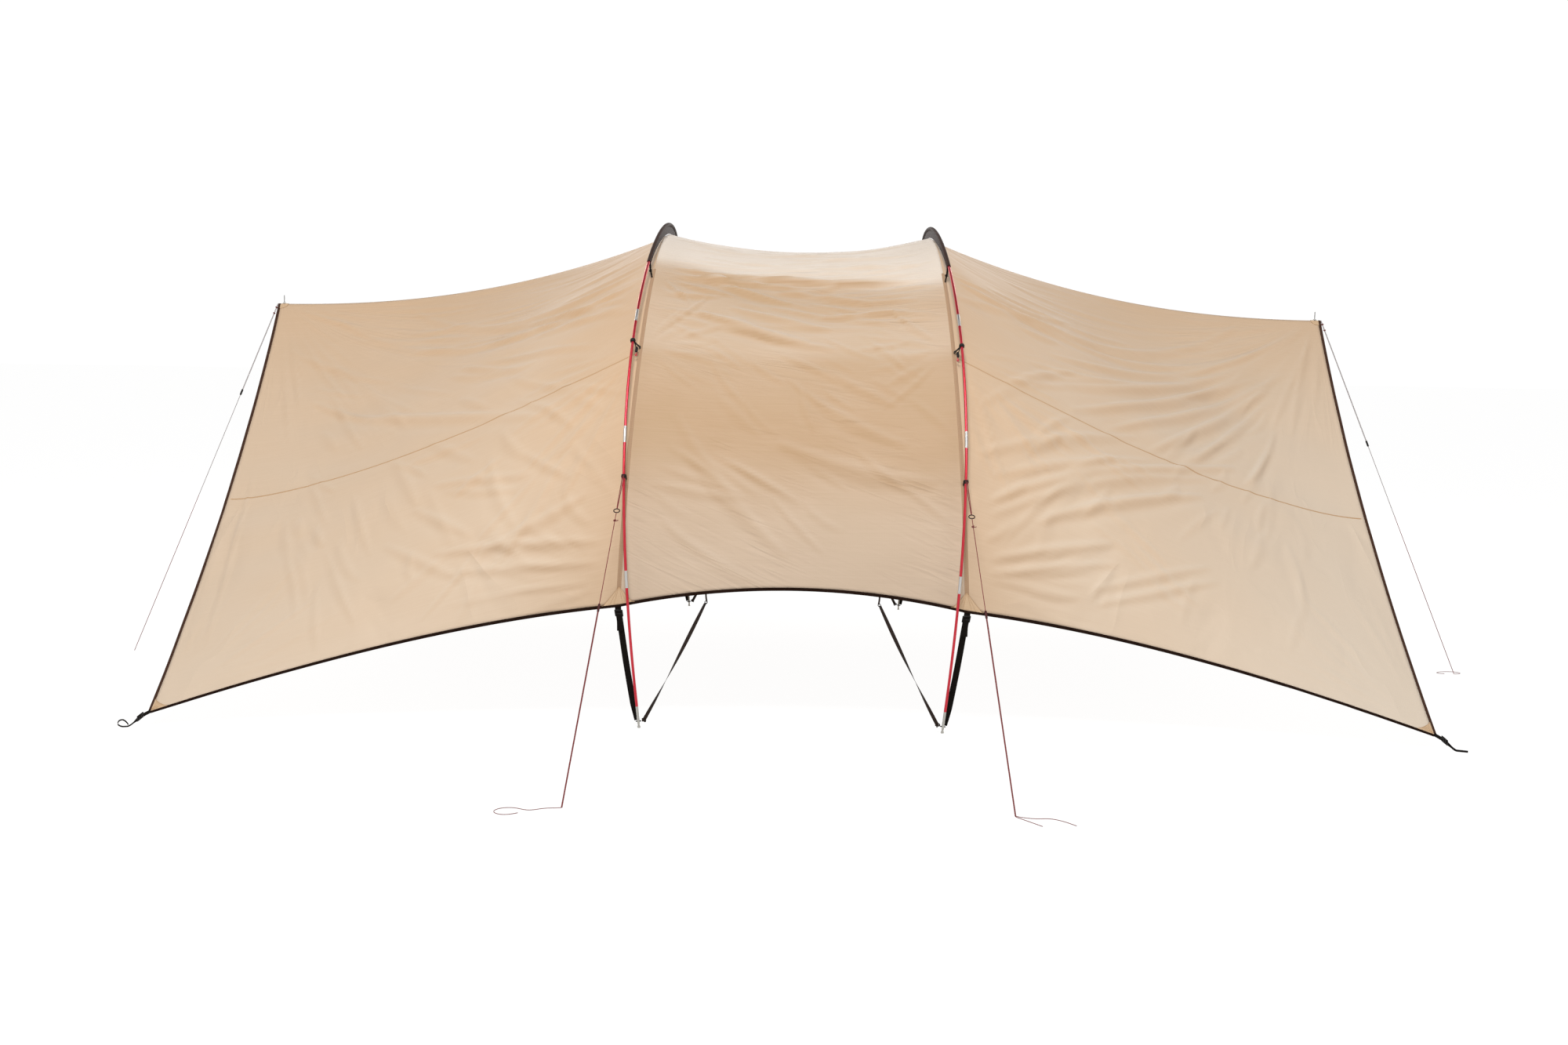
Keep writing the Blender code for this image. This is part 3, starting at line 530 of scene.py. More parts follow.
@dataclass(frozen=True)
class WovenCloth(Finish):
    """Cotton and polyester cloth, plain woven and proofed: matt, with a faint white sheen at a low angle.

    The threads are half a millimetre apart, so they are drawn ten times as coarse, and slubs show as faint
    streaks along the weft. A pale colour mixed in by a point attribute is painted light and shade, by place
    and by each crease's slope. Creases too fine for the mesh are bump, and run towards the place that pulls.
    """

    base: str = "AB8E6E"
    light: str = "AF9374"
    dark: str = "A78A69"
    # Pale colour of the painted light.
    painted_pale: str = "BCAF9F"
    thread_pitch: float = 5 * MM
    slub_length: float = 0.20
    slub_height: float = 7 * MM
    sheen: float = 0.15
    shine: float = 0.15
    weave_depth: float = 0.2 * MM
    pull: tuple[float, float, float] = (1.813, 0.0, 0.0)
    crease_turn: float = 0.085
    crease_length: float = 0.55
    crease_depth: float = 16.0 * MM

    def material(self) -> Material:
        """Build the material.

        Returns:
            The material.
        """
        material, tree, shader = self.start()
        shader.inputs["Sheen Roughness"].default_value = 0.35
        uv = add_node(tree, "UVMap", {"uv_map": "cloth"}).outputs["UV"]
        slub_space = add_node(tree, "Mapping", {
            "Scale": (1 / self.slub_length, 1 / self.slub_height, 1.0)}, {"Vector": uv})
        slub = add_node(tree, "TexNoise", {"Scale": 1.0, "Detail": 2.0, "Roughness": 0.55},
                        {"Vector": slub_space.outputs["Vector"]}).outputs["Fac"]
        cloud = add_node(tree, "TexNoise", {"Scale": 2.2, "Detail": 3.0}, {"Vector": uv}).outputs["Fac"]
        both = add_node(tree, "Mix", {"data_type": "FLOAT", 0: 0.45}, {2: slub, 3: cloud})
        woven = self.colours(tree, both.outputs[0],
                             [(0.30, self.dark), (0.50, self.base), (0.72, self.light)])
        # Painted light and shade: a pale colour mixed in by a point attribute, set per point on the cloth.
        fade = add_node(tree, "Attribute", {"attribute_name": "fade"})
        colour = add_node(tree, "Mix", {"data_type": "RGBA", 7: linear(self.painted_pale)},
                          {0: fade.outputs["Fac"], 6: woven})
        tree.links.new(colour.outputs[2], shader.inputs["Base Color"])
        crease = add_node(tree, "Bump", {"invert": True, "Strength": 1.0, "Distance": self.crease_depth},
                          {"Height": self.creases(tree, uv, cloud)})
        weave = add_node(tree, "Bump", {"Strength": 0.35, "Distance": self.weave_depth},
                         {"Height": self.weave(tree, uv, slub), "Normal": crease.outputs["Normal"]})
        tree.links.new(weave.outputs["Normal"], shader.inputs["Normal"])
        return material

    def weave(self, tree: NodeTree, uv: NodeSocket, slub: NodeSocket) -> NodeSocket:
        """Height of the threads: the higher of two crossing waves, with the slubs on top.

        Args:
            tree: Node tree of the material.
            uv: Metres across and down the cloth.
            slub: Streaks along the weft.

        Returns:
            Height, before the weave depth.
        """
        waves = [add_node(tree, "TexWave", {
            "wave_type": "BANDS", "bands_direction": direction, "Scale": 1 / self.thread_pitch / math.tau,
            "Distortion": 0.6, "Detail": 1.0}, {"Vector": uv}).outputs["Fac"] for direction in ("X", "Y")]
        upper = add_node(tree, "Math", {"operation": "MAXIMUM"}, {0: waves[0], 1: waves[1]})
        height = add_node(tree, "Math", {"operation": "MULTIPLY_ADD", 1: 0.6},
                          {0: slub, 2: upper.outputs["Value"]})
        return height.outputs["Value"]

    def creases(self, tree: NodeTree, uv: NodeSocket, cloud: NodeSocket) -> NodeSocket:
        """Height of the fine creases.

        It is the distance of a noise from its mean, turned over: a sharp crest where it crosses it. The
        noise is stretched along the lines that meet at the pulling place: its two coordinates are the
        angle round that place and the distance from it. The height grows with that distance, as the
        spacing does, and a cloud makes the creases come and go.

        Args:
            tree: Node tree of the material.
            uv: Metres across and down the cloth.
            cloud: Slow noise.

        Returns:
            Height, before the crease depth.
        """
        way = add_node(tree, "VectorMath", {"operation": "SUBTRACT", 0: self.pull}, {1: uv}).outputs["Vector"]
        parts = add_node(tree, "SeparateXYZ", None, {"Vector": way}).outputs
        away = add_node(tree, "VectorMath", {"operation": "LENGTH"}, {0: way}).outputs["Value"]
        angle = add_node(tree, "Math", {"operation": "ARCTAN2"}, {0: parts["Y"], 1: parts["X"]})
        turns = add_node(tree, "Math", {"operation": "MULTIPLY", 1: 1 / self.crease_turn},
                         {0: angle.outputs["Value"]})
        lengths = add_node(tree, "Math", {"operation": "MULTIPLY", 1: 1 / self.crease_length}, {0: away})
        lines = add_node(tree, "CombineXYZ", None,
                         {"X": turns.outputs["Value"], "Y": lengths.outputs["Value"]})
        noise = add_node(tree, "TexNoise", {"Scale": 1.0, "Detail": 1.5, "Distortion": 0.5},
                         {"Vector": lines.outputs["Vector"]})
        off = add_node(tree, "Math", {"operation": "SUBTRACT", 1: 0.5}, {0: noise.outputs["Fac"]})
        sharp = add_node(tree, "Math", {"operation": "ABSOLUTE"}, {0: off.outputs["Value"]})
        patchy = add_node(tree, "MapRange", {"From Min": 0.44, "From Max": 0.60, "To Min": 0.12},
                          {"Value": cloud})
        wide = add_node(tree, "Math", {"operation": "MULTIPLY"}, {0: away, 1: patchy.outputs["Result"]})
        height = add_node(tree, "Math", {"operation": "MULTIPLY"},
                          {0: sharp.outputs["Value"], 1: wide.outputs["Value"]})
        return height.outputs["Value"]


@dataclass(frozen=True)
class WovenTape(Finish):
    """Polyester webbing and tape: ribs across the length every 2 mm, drawn at the pitch given, and lighter
    rib tops in patches, partly wear and partly a painted sheen."""

    rib_pitch: float = 3.2 * MM
    rib_depth: float = 0.35 * MM
    sheen: float = 0.03
    shine: float = 0.15

    def material(self) -> Material:
        """Build the material.

        Returns:
            The material.
        """
        material, tree, shader = self.start()
        uv = add_node(tree, "UVMap", {"uv_map": "cloth"}).outputs["UV"]
        ribs = add_node(tree, "TexWave", {
            "wave_type": "BANDS", "bands_direction": "X", "Scale": 1 / self.rib_pitch / math.tau,
            "Distortion": 1.2, "Detail": 2.0, "Detail Scale": 2.0}, {"Vector": uv}).outputs["Fac"]
        wear_and_sheen = add_node(tree, "TexNoise", {"Scale": 60.0, "Detail": 3.0}, {"Vector": uv}).outputs["Fac"]
        # Rib tops lighter where the noise is high: wear, with a painted sheen.
        both = add_node(tree, "Math", {"operation": "MULTIPLY"}, {0: ribs, 1: wear_and_sheen})
        self.dress(tree, shader, both.outputs["Value"], (0.10, 0.65), ribs, 0.8, self.rib_depth)
        return material


@dataclass(frozen=True)
class OpenMesh(Finish):
    """Knitted polyester mesh: rows of small round holes, which read as a dark brown grain."""

    base: str = "130D0B"
    light: str = "33241F"
    shine: float = 0.08
    pitch: float = 4 * MM

    def material(self) -> Material:
        """Build the material.

        Returns:
            The material.
        """
        material, tree, shader = self.start()
        uv = add_node(tree, "UVMap", {"uv_map": "cloth"}).outputs["UV"]
        cells = add_node(tree, "TexVoronoi", {"Scale": 1 / self.pitch, "Randomness": 0.35},
                         {"Vector": uv}).outputs["Distance"]
        streak = add_node(tree, "TexNoise", {"Scale": 14.0, "Detail": 3.0}, {"Vector": uv})
        mixed = add_node(tree, "Math", {"operation": "MULTIPLY_ADD", 1: 0.35},
                         {0: streak.outputs["Fac"], 2: cells})
        self.dress(tree, shader, mixed.outputs["Value"], (0.25, 0.62), cells, 0.7, 0.4 * MM)
        return material


@dataclass(frozen=True)
class DrawnTube(Finish):
    """Drawn aluminium or steel tube, bare, plated or anodised: satin, with fine lines along it."""

    base: str = "B42A36"
    light: str = "CC4650"
    roughness: float = 0.36
    metallic: float = 1.0
    line_pitch: float = 0.9 * MM

    def material(self) -> Material:
        """Build the material.

        Returns:
            The material.
        """
        material, tree, shader = self.start()
        uv = add_node(tree, "UVMap", {"uv_map": "cloth"}).outputs["UV"]
        space = add_node(tree, "Mapping", {"Scale": (3.0, 1 / self.line_pitch, 1.0)}, {"Vector": uv})
        lines = add_node(tree, "TexNoise", {"Scale": 1.0, "Detail": 2.0},
                         {"Vector": space.outputs["Vector"]}).outputs["Fac"]
        rough = add_node(tree, "MapRange", {"To Min": self.roughness * 0.8, "To Max": self.roughness * 1.3},
                         {"Value": lines})
        tree.links.new(rough.outputs["Result"], shader.inputs["Roughness"])
        self.dress(tree, shader, lines, (0.35, 0.70))
        return material


@dataclass(frozen=True)
class Moulding(Finish):
    """Injection moulded acetal: near black or dark red, satin, with a fine spark-eroded grain."""

    base: str = "120F0E"
    light: str = "1D1A18"
    roughness: float = 0.5
    shine: float = 0.2
    grain: float = 1.2 * MM

    def material(self) -> Material:
        """Build the material.

        Returns:
            The material.
        """
        material, tree, shader = self.start()
        place = add_node(tree, "TexCoord")
        grain = add_node(tree, "TexNoise", {"Scale": 1 / self.grain, "Detail": 3.0},
                         {"Vector": place.outputs["Object"]}).outputs["Fac"]
        self.dress(tree, shader, grain, (0.35, 0.75), grain, 0.3, 0.1 * MM)
        return material


@dataclass(frozen=True)
class BraidedCord(Finish):
    """Braided polyester guy line: slanting strands, with one pale reflective tracer among the dark ones."""

    strand_pitch: float = 3 * MM
    roughness: float = 0.65

    def material(self) -> Material:
        """Build the material.

        Returns:
            The material.
        """
        material, tree, shader = self.start()
        uv = add_node(tree, "UVMap", {"uv_map": "cloth"}).outputs["UV"]
        turned = add_node(tree, "Mapping", {"Rotation": (0.0, 0.0, 0.7)}, {"Vector": uv})
        strands = add_node(tree, "TexWave", {
            "wave_type": "BANDS", "bands_direction": "X", "Scale": 1 / self.strand_pitch / math.tau},
            {"Vector": turned.outputs["Vector"]}).outputs["Fac"]
        self.dress(tree, shader, strands, (0.55, 0.95), strands, 0.6, 0.3 * MM)
        return material


@dataclass(frozen=True)
class StudioFloor(Finish):
    """Pale acrylic light table: matt, and lit from below, so that shadows on it stay faint."""

    roughness: float = 0.9
    base: str = "5A5958"
    shine: float = 0.0
    glow: float = 0.94

    def material(self) -> Material:
        """Build the material.

        Returns:
            The material.
        """
        material, _, shader = self.start()
        for socket, value in (("Base Color", linear(self.base)), ("Emission Color", WHITE),
                              ("Emission Strength", self.glow)):
            shader.inputs[socket].default_value = value
        return material


def made(finish: Finish) -> Any:
    """Field that holds the material of a finish, made when the finishes are."""
    return field(default_factory=finish.material)


@dataclass(frozen=True)
class Finishes:
    """Every finish of the tent, made once."""

    # The vault's cloth is the wings' cloth with a darker, more saturated base colour, as painted shade over
    # the vault.
    vault_cloth: Material = made(WovenCloth(
        "proofed_polycotton_vault", base="9B8063", dark="977D5E", light="9F8569", painted_pale="C3B8AC",
        pull=(-4.0, -0.7, 0.0), crease_turn=0.009, crease_length=0.30, crease_depth=2.8 * MM))
    wing_cloth: Material = made(WovenCloth(
        "proofed_polycotton_wing", base="A98B6C", dark="A58767", light="AD9072"))
    patch: Material = made(WovenCloth(
        "reinforcing_cloth", base="AE9477", dark="AA9073", light="B2997C", roughness=0.55,
        crease_depth=0.5 * MM))
    seam: Material = made(WovenTape(
        "felled_seam_thread", base="9C7E5E", light="A88A6A", rib_pitch=4 * MM, rib_depth=0.15 * MM,
        roughness=0.8))
    seam_tape: Material = made(WovenTape(
        "seam_tape", base="8E735A", light="937960", rib_pitch=4 * MM, rib_depth=0.03 * MM, roughness=0.75))
    binding: Material = made(WovenTape(
        "binding_tape", base="160B06", light="22140E", roughness=0.78, sheen=0.0, shine=0.03,
        rib_depth=0.1 * MM))
    end_binding: Material = made(WovenTape(
        "end_binding_tape", base="36241C", light="463228", roughness=0.78, sheen=0.0, shine=0.03,
        rib_depth=0.1 * MM))
    mesh: Material = made(OpenMesh("sleeve_mesh", roughness=0.7))
    red_tube: Material = made(DrawnTube("red_anodised_aluminium"))
    bare_tube: Material = made(DrawnTube(
        "clear_anodised_aluminium", base="B0AEAB", light="CFCDCA", roughness=0.34))
    steel: Material = made(DrawnTube("plated_steel", base="6A6866", light="868482", roughness=0.34))
    tip: Material = made(DrawnTube("turned_aluminium", base="9A9892", light="BDBBB4", roughness=0.38))
    black_part: Material = made(Moulding("black_acetal"))
    red_part: Material = made(Moulding("dark_red_acetal", base="2C0E0E", light="481818"))
    ring: Material = made(Moulding("brown_coated_steel", base="1E130D", light="2E2017", roughness=0.4))
    webbing: Material = made(WovenTape(
        "black_polypropylene_webbing", base="0A0705", light="15100D", sheen=0.0, shine=0.05))
    brace: Material = made(WovenTape(
        "brown_polyester_webbing", base="1A110C", light="2A1D15", rib_pitch=2.6 * MM))
    cord: Material = made(BraidedCord("red_guy_line", base="551214", light="7C2C28"))
    pale_cord: Material = made(BraidedCord("reflective_guy_line", base="7C7473", light="9A9291"))
    red_cord: Material = made(BraidedCord("red_loop_cord", base="B0202E", light="D06068"))


# Shape of the tent


@dataclass(frozen=True)
class TentShape:
    """Driving sizes of the tent, and the lines and surfaces that follow from them.

    An arched pole is walked along its length from the crown, and its bend at a length s is
    crown + rise * s - fall * s squared. On the cloth, v runs from the ridge (0) to the hem (1) and is
    signed towards +Y.
    """

    arch_half: float = 3.117
    arch_top: float = 2.097
    bend_crown: float = 0.392
    bend_rise: float = 0.357
    bend_fall: float = 0.104
    waist_x: float = 0.6735
    waist_z: float = 1.0
    lean_x: float = 0.0283
    bow_x: float = 0.0533
    bow_skew: float = -0.0178
    canopy_gap: float = 0.045
    hem_arc: float = 2.607
    hem_z: float = 0.505
    seam_x: float = 0.692
    seam_lean: float = 0.050
    ridge_x: float = 2.505
    ridge_z: float = 1.694
    corner_x: float = 2.536
    corner_y: float = 1.698
    corner_z: float = 0.060
    edge_bow: float = 0.040
    sag_crown: float = 0.080
    sag_hem: float = 0.030
    ridge_dip: float = 1.2
    ridge_dip_fade: float = 1.5
    hem_cut_vault: float = 0.075
    hem_cut_wing: float = 0.065
    seam_v_arch: float = 0.575
    seam_v_edge: float = 0.530

    @property
    def wing_reach(self) -> float:
        """Length of a wing's ridge."""
        return self.ridge_x - self.seam_x

    @cached_property
    def walk(self) -> tuple[Array, Array, Array, Array]:
        """Walk half an arch from its crown, turning by the bend.

        Returns:
            Length from the crown, reach, height and slope at each step.
        """
        length = np.linspace(0.0, self.arch_half + 0.2, 1400)
        slope = self.bend_crown * length + self.bend_rise * length ** 2 / 2 - self.bend_fall * length ** 3 / 3
        step = np.diff(length)
        reach, drop = (np.concatenate([[0.0], np.cumsum((part[1:] + part[:-1]) / 2 * step)])
                       for part in (np.cos(slope), np.sin(slope)))
        return length, reach, self.arch_top - drop, slope

    def arch(self, arc: Array) -> tuple[Array, Array, Array]:
        """Follow a pole.

        Args:
            arc: Signed length from the crown.

        Returns:
            Reach in Y, height and slope there.
        """
        length, reach, height, slope = self.walk
        size = np.abs(arc)
        return (np.sign(arc) * np.interp(size, length, reach), np.interp(size, length, height),
                np.sign(arc) * np.interp(size, length, slope))

    def pole(self, arc: Array, end: End) -> Array:
        """Centre line of an arched pole.

        Its X is the waist, plus lean h, less bow h squared, plus skew h cubed, for a height h over the waist.

        Args:
            arc: Signed length from the crown.
            end: Wing end that the pole stands at.

        Returns:
            Points of the line.
        """
        reach, height, _ = self.arch(np.asarray(arc, dtype=float))
        rise = height - self.waist_z
        x = self.waist_x + self.lean_x * rise - self.bow_x * rise ** 2 + self.bow_skew * rise ** 3
        return np.stack([end.value * x, reach, height], axis=-1)

    def under_arch(self, v: Array, gap: Array | float) -> tuple[Array, Array, Array]:
        """Follow a line inside the arch: a gap along the pole's normal, and leaning in with its height.

        Args:
            v: Down from the ridge, signed towards +Y.
            gap: Distance inside the pole.

        Returns:
            X, Y and Z of the line.
        """
        reach, height, slope = self.arch(np.asarray(v, dtype=float) * self.hem_arc)
        z = height - gap * np.cos(slope)
        return self.seam_x - self.seam_lean * (z - self.hem_z), reach - gap * np.sin(slope), z

    def pole_frame(self, arc: Array, end: End) -> tuple[Array, Array, Array, Array]:
        """Place on a pole, with the way to the cloth.

        Args:
            arc: Signed length from the crown.
            end: Wing end that the pole stands at.

        Returns:
            Pole point, direction along it, direction to the cloth, and the distance to the cloth.
        """
        arc = np.asarray(arc, dtype=float)
        place = self.pole(arc, end)
        along = unit(self.pole(arc + MM, end) - self.pole(arc - MM, end))
        x, y, z = self.under_arch(arc / self.hem_arc, self.canopy_gap)
        inward = np.stack([end.value * x, y, z], axis=-1) - place
        return place, along, unit(inward), np.linalg.norm(inward, axis=-1, keepdims=True)

    def vault_hem(self, k: Array) -> Array:
        """v of the hem along the vault, cut up in the middle."""
        return 1 - self.hem_cut_vault / self.hem_arc * (1 - k ** 2)

    def wing_hem(self, t: Array) -> Array:
        """v of the hem along a wing, cut up in a shallow curve."""
        return 1 - self.hem_cut_wing / self.hem_arc * 4 * t * (1 - t)

    def wing_seam(self, t: Array) -> Array:
        """v of the seam between a wing's roof and wall."""
        return self.seam_v_arch + (self.seam_v_edge - self.seam_v_arch) * t


SHAPE = TentShape()


@dataclass(frozen=True)
class Fold:
    """One soft crease between two places on a cloth, in metres across and down it."""

    start: Sequence[float]
    end: Sequence[float]
    width: float
    rise: float
    bow: float = 0.0
    pinch: float = 0.66

    def height(self, across: Array, down: Array) -> Array:
        """Height of the crease: a ridge, steep above and gentle below, fading at both ends.

        It is a bell across the crease, less a third of a bell beside it, times the root of a hump along it.

        Args:
            across: Metres across the cloth.
            down: Metres down the cloth.

        Returns:
            Height in metres.
        """
        run = np.array(self.end) - np.array(self.start)
        length = float(np.hypot(*run))
        share = ((across - self.start[0]) * run[0] + (down - self.start[1]) * run[1]) / length ** 2
        off = ((across - self.start[0]) * run[1] - (down - self.start[1]) * run[0]) / length
        off = -off * np.sign(run[0] if run[0] else 1.0) - self.bow * 4 * share * (1 - share)
        taper = bump_over(share)
        width = self.pinch * self.width * (0.5 + 0.5 * taper)
        ridge = np.exp(-((off / (width * np.where(off < 0, 0.7, 1.3))) ** 2))
        valley = np.exp(-(((off - 2.4 * width) / (1.2 * width)) ** 2))
        return self.rise * np.sqrt(taper) * (ridge - 0.35 * valley)


def folds_of(*rows: Sequence[float]) -> tuple[Fold, ...]:
    """Creases from rows: across and down at both ends in cm, then width, rise and bow in mm."""
    return tuple(Fold(*(tuple(place / 100 for place in row[n:n + 2]) for n in (0, 2)),
                      *(size * MM for size in row[4:])) for row in rows)


def strewn_folds(seed: int, count: int, area: tuple[float, float, float, float],
                 pull: tuple[float, float], length: tuple[float, float], width: float,
                 rise: float) -> list[Fold]:
    """Short creases strewn over a part of a cloth, each in line with the place that pulls on it.

    Args:
        seed: Seed of the spread.
        count: Number of creases.
        area: Least and most across, then least and most down, in metres.
        pull: Place that they point at.
        length: Shortest and longest.
        width: Widest half width.
        rise: Highest rise.

    Returns:
        The creases.
    """
    draw = np.random.default_rng(seed)
    folds = []
    for _ in range(count):
        middle = np.array([draw.uniform(area[0], area[1]), draw.uniform(area[2], area[3])])
        turn = math.atan2(pull[1] - middle[1], pull[0] - middle[0]) + draw.normal(0, 0.12)
        half = draw.uniform(*length) / 2 * np.array([math.cos(turn), math.sin(turn)])
        start, end = middle - half, middle + half
        folds.append(Fold(tuple(start), tuple(end), width * draw.uniform(0.6, 1.0),
                          rise * draw.uniform(0.4, 1.0), draw.normal(0, 0.010)))
    return folds


def fan_of_folds(seed: int, origin: tuple[float, float], angles: tuple[float, float],
                 reach: tuple[float, float], count: int, width: float, rise: float) -> list[Fold]:
    """Creases that spread from a pulled point, such as a corner or a hook.

    Args:
        seed: Seed of the spread.
        origin: Place that they run towards, in metres across and down the cloth.
        angles: First and last direction, in degrees from across to down.
        reach: Nearest start and farthest end, in metres from the origin.
        count: Number of creases.
        width: Widest half width.
        rise: Highest rise.

    Returns:
        The creases.
    """
    draw = np.random.default_rng(seed)
    turns = np.radians(np.linspace(*angles, count) + draw.normal(0, 2.5, count))
    folds = []
    for turn in turns:
        first = reach[0] + draw.uniform(0, 0.25) * (reach[1] - reach[0])
        last = first + draw.uniform(0.35, 0.9) * (reach[1] - first)
        way = np.array([math.cos(turn), math.sin(turn)])
        start = np.array(origin) + way * first
        end = np.array(origin) + way * last
        folds.append(Fold(tuple(start), tuple(end), width * draw.uniform(0.5, 1.0),
                          rise * draw.uniform(0.35, 1.0), draw.normal(0, 0.012)))
    return folds


@dataclass(frozen=True)
class Cloth:
    """A stretched cloth: a surface of v and a second share, with creases laid over it.

    The second share covers the span in metres, and outward is the sign that turns the surface's own
    normal outwards.
    """

    folds: tuple[Fold, ...] = ()
    swell_seed: int = 1
    swell: float = 1.6 * MM
    span: float = 1.0
    outward: float = 1.0

    def base(self, v: Array, a: Array) -> Array:
        """Smooth surface."""
        raise NotImplementedError

    def metres(self, v: Array, a: Array) -> tuple[Array, Array]:
        """Metres across and down the cloth."""
        return a * self.span, np.abs(v) * SHAPE.hem_arc

    def calm(self, v: Array, a: Array) -> Array:
        """Share of the creases that is left near held edges."""
        raise NotImplementedError

    def fade(self, across: Array, down: Array) -> Array:
        """Share of the pale colour mixed in as painted light and shade."""
        raise NotImplementedError

    def broad(self, across: Array, down: Array) -> Array:
        """Broad swells: a sum of slow sines in set directions, so that no part is dead flat.

        Args:
            across: Metres across the cloth.
            down: Metres down the cloth.

        Returns:
            Height in metres.
        """
        draw = np.random.default_rng(self.swell_seed)
        height = np.zeros(np.broadcast(across, down).shape)
        for _ in range(14):
            turn = draw.uniform(0, np.pi)
            wave = 2 * np.pi / draw.uniform(0.22, 0.85)
            phase = draw.uniform(0, 2 * np.pi)
            height = height + np.sin(wave * (across * math.cos(turn) * 0.6 + down * math.sin(turn)) + phase)
        return self.swell * height / 3

    def relief(self, v: Array, a: Array) -> Array:
        """Sum of the creases and swells, as a height above the smooth surface, times the calm.

        Args:
            v: Down from the ridge, signed towards +Y.
            a: The second share.

        Returns:
            Height in metres.
        """
        across, down = self.metres(v, a)
        height = self.broad(across, down)
        for fold in self.folds:
            height = height + fold.height(across, down)
        return height * self.calm(v, a)

    def point(self, v: Array, a: Array, lift: Array | float = 0.0) -> Array:
        """Point on the cloth, raised along its normal.

        Args:
            v: Down from the ridge, signed towards +Y.
            a: The second share.
            lift: Metres above the cloth.

        Returns:
            Points, with x, y, z on the last axis.
        """
        v, a = np.broadcast_arrays(np.asarray(v, dtype=float), np.asarray(a, dtype=float))
        return self.base(v, a) + self.normal(v, a) * (self.relief(v, a) + lift)[..., None]

    def normal(self, v: Array, a: Array) -> Array:
        """Outward normal of the smooth surface, from its slopes across and down.

        Args:
            v: Down from the ridge, signed towards +Y.
            a: The second share.

        Returns:
            Directions of length one.
        """
        step = 0.002
        down = self.base(v + step, a) - self.base(v - step, a)
        across = self.base(v, a + step) - self.base(v, a - step)
        return unit(np.cross(across, down)) * self.outward


@dataclass(frozen=True)
class VaultCloth(Cloth):
    """Cloth between the arches: a barrel that sags towards its middle. The second share is k, -1 to 1."""

    span: float = SHAPE.seam_x

    def base(self, v: Array, a: Array) -> Array:
        """Line under the arch, dropped by a sag of 1 - k squared, and drawn in to k of its X.

        Args:
            v: Down from the ridge, signed towards +Y.
            a: The second share.

        Returns:
            Points of the smooth surface.
        """
        sag = (SHAPE.sag_crown + (SHAPE.sag_hem - SHAPE.sag_crown) * np.abs(v)) * (1 - a ** 2)
        x, _, _ = SHAPE.under_arch(v, SHAPE.canopy_gap)
        _, y, z = SHAPE.under_arch(v, SHAPE.canopy_gap + sag)
        return np.stack([x * a, y, z], axis=-1)

    def fade(self, across: Array, down: Array) -> Array:
        """Painted light and shade: palest on top as a painted sheen, least where the wall is shaded, and a
        little more again towards the hem.

        Args:
            across: Metres across the cloth.
            down: Metres down the cloth.

        Returns:
            Share of the pale colour painted in.
        """
        # Painted sheen on top and painted shade on the wall, by distance down the cloth.
        places = [0.0, 0.76, 0.86, 0.96, 1.08, 1.34, 1.44, 1.52, 1.60, 1.82, 1.95, 2.05, 2.23, 2.47]
        shares = [0.87, 0.87, 0.80, 0.30, 0.19, 0.29, 0.27, 0.10, 0.09, 0.03, 0.05, 0.14, 0.29, 0.36]
        return np.interp(down - 0.13 * across * (down < 1.2) + 0.012 * np.sin(9 * across), places, shares)

    def calm(self, v: Array, a: Array) -> Array:
        """Creases die out at the arches, ease at the ridge and the hem, and are deepest half way down.

        Args:
            v: Down from the ridge, signed towards +Y.
            a: The second share.

        Returns:
            Share of the creases that is left.
        """
        across, down = self.metres(v, a)
        middle = np.interp(down, [0.8, 1.0, 1.3, 1.5, 2.0], [1.9, 3.1, 2.4, 1.5, 1.1])
        arch = rise_over(SHAPE.seam_x - np.abs(across), 0.07)
        hem = 0.35 + 0.65 * rise_over(SHAPE.hem_arc * SHAPE.vault_hem(a) - down, 0.08)
        return middle * arch * hem * rise_over(down, 0.08)


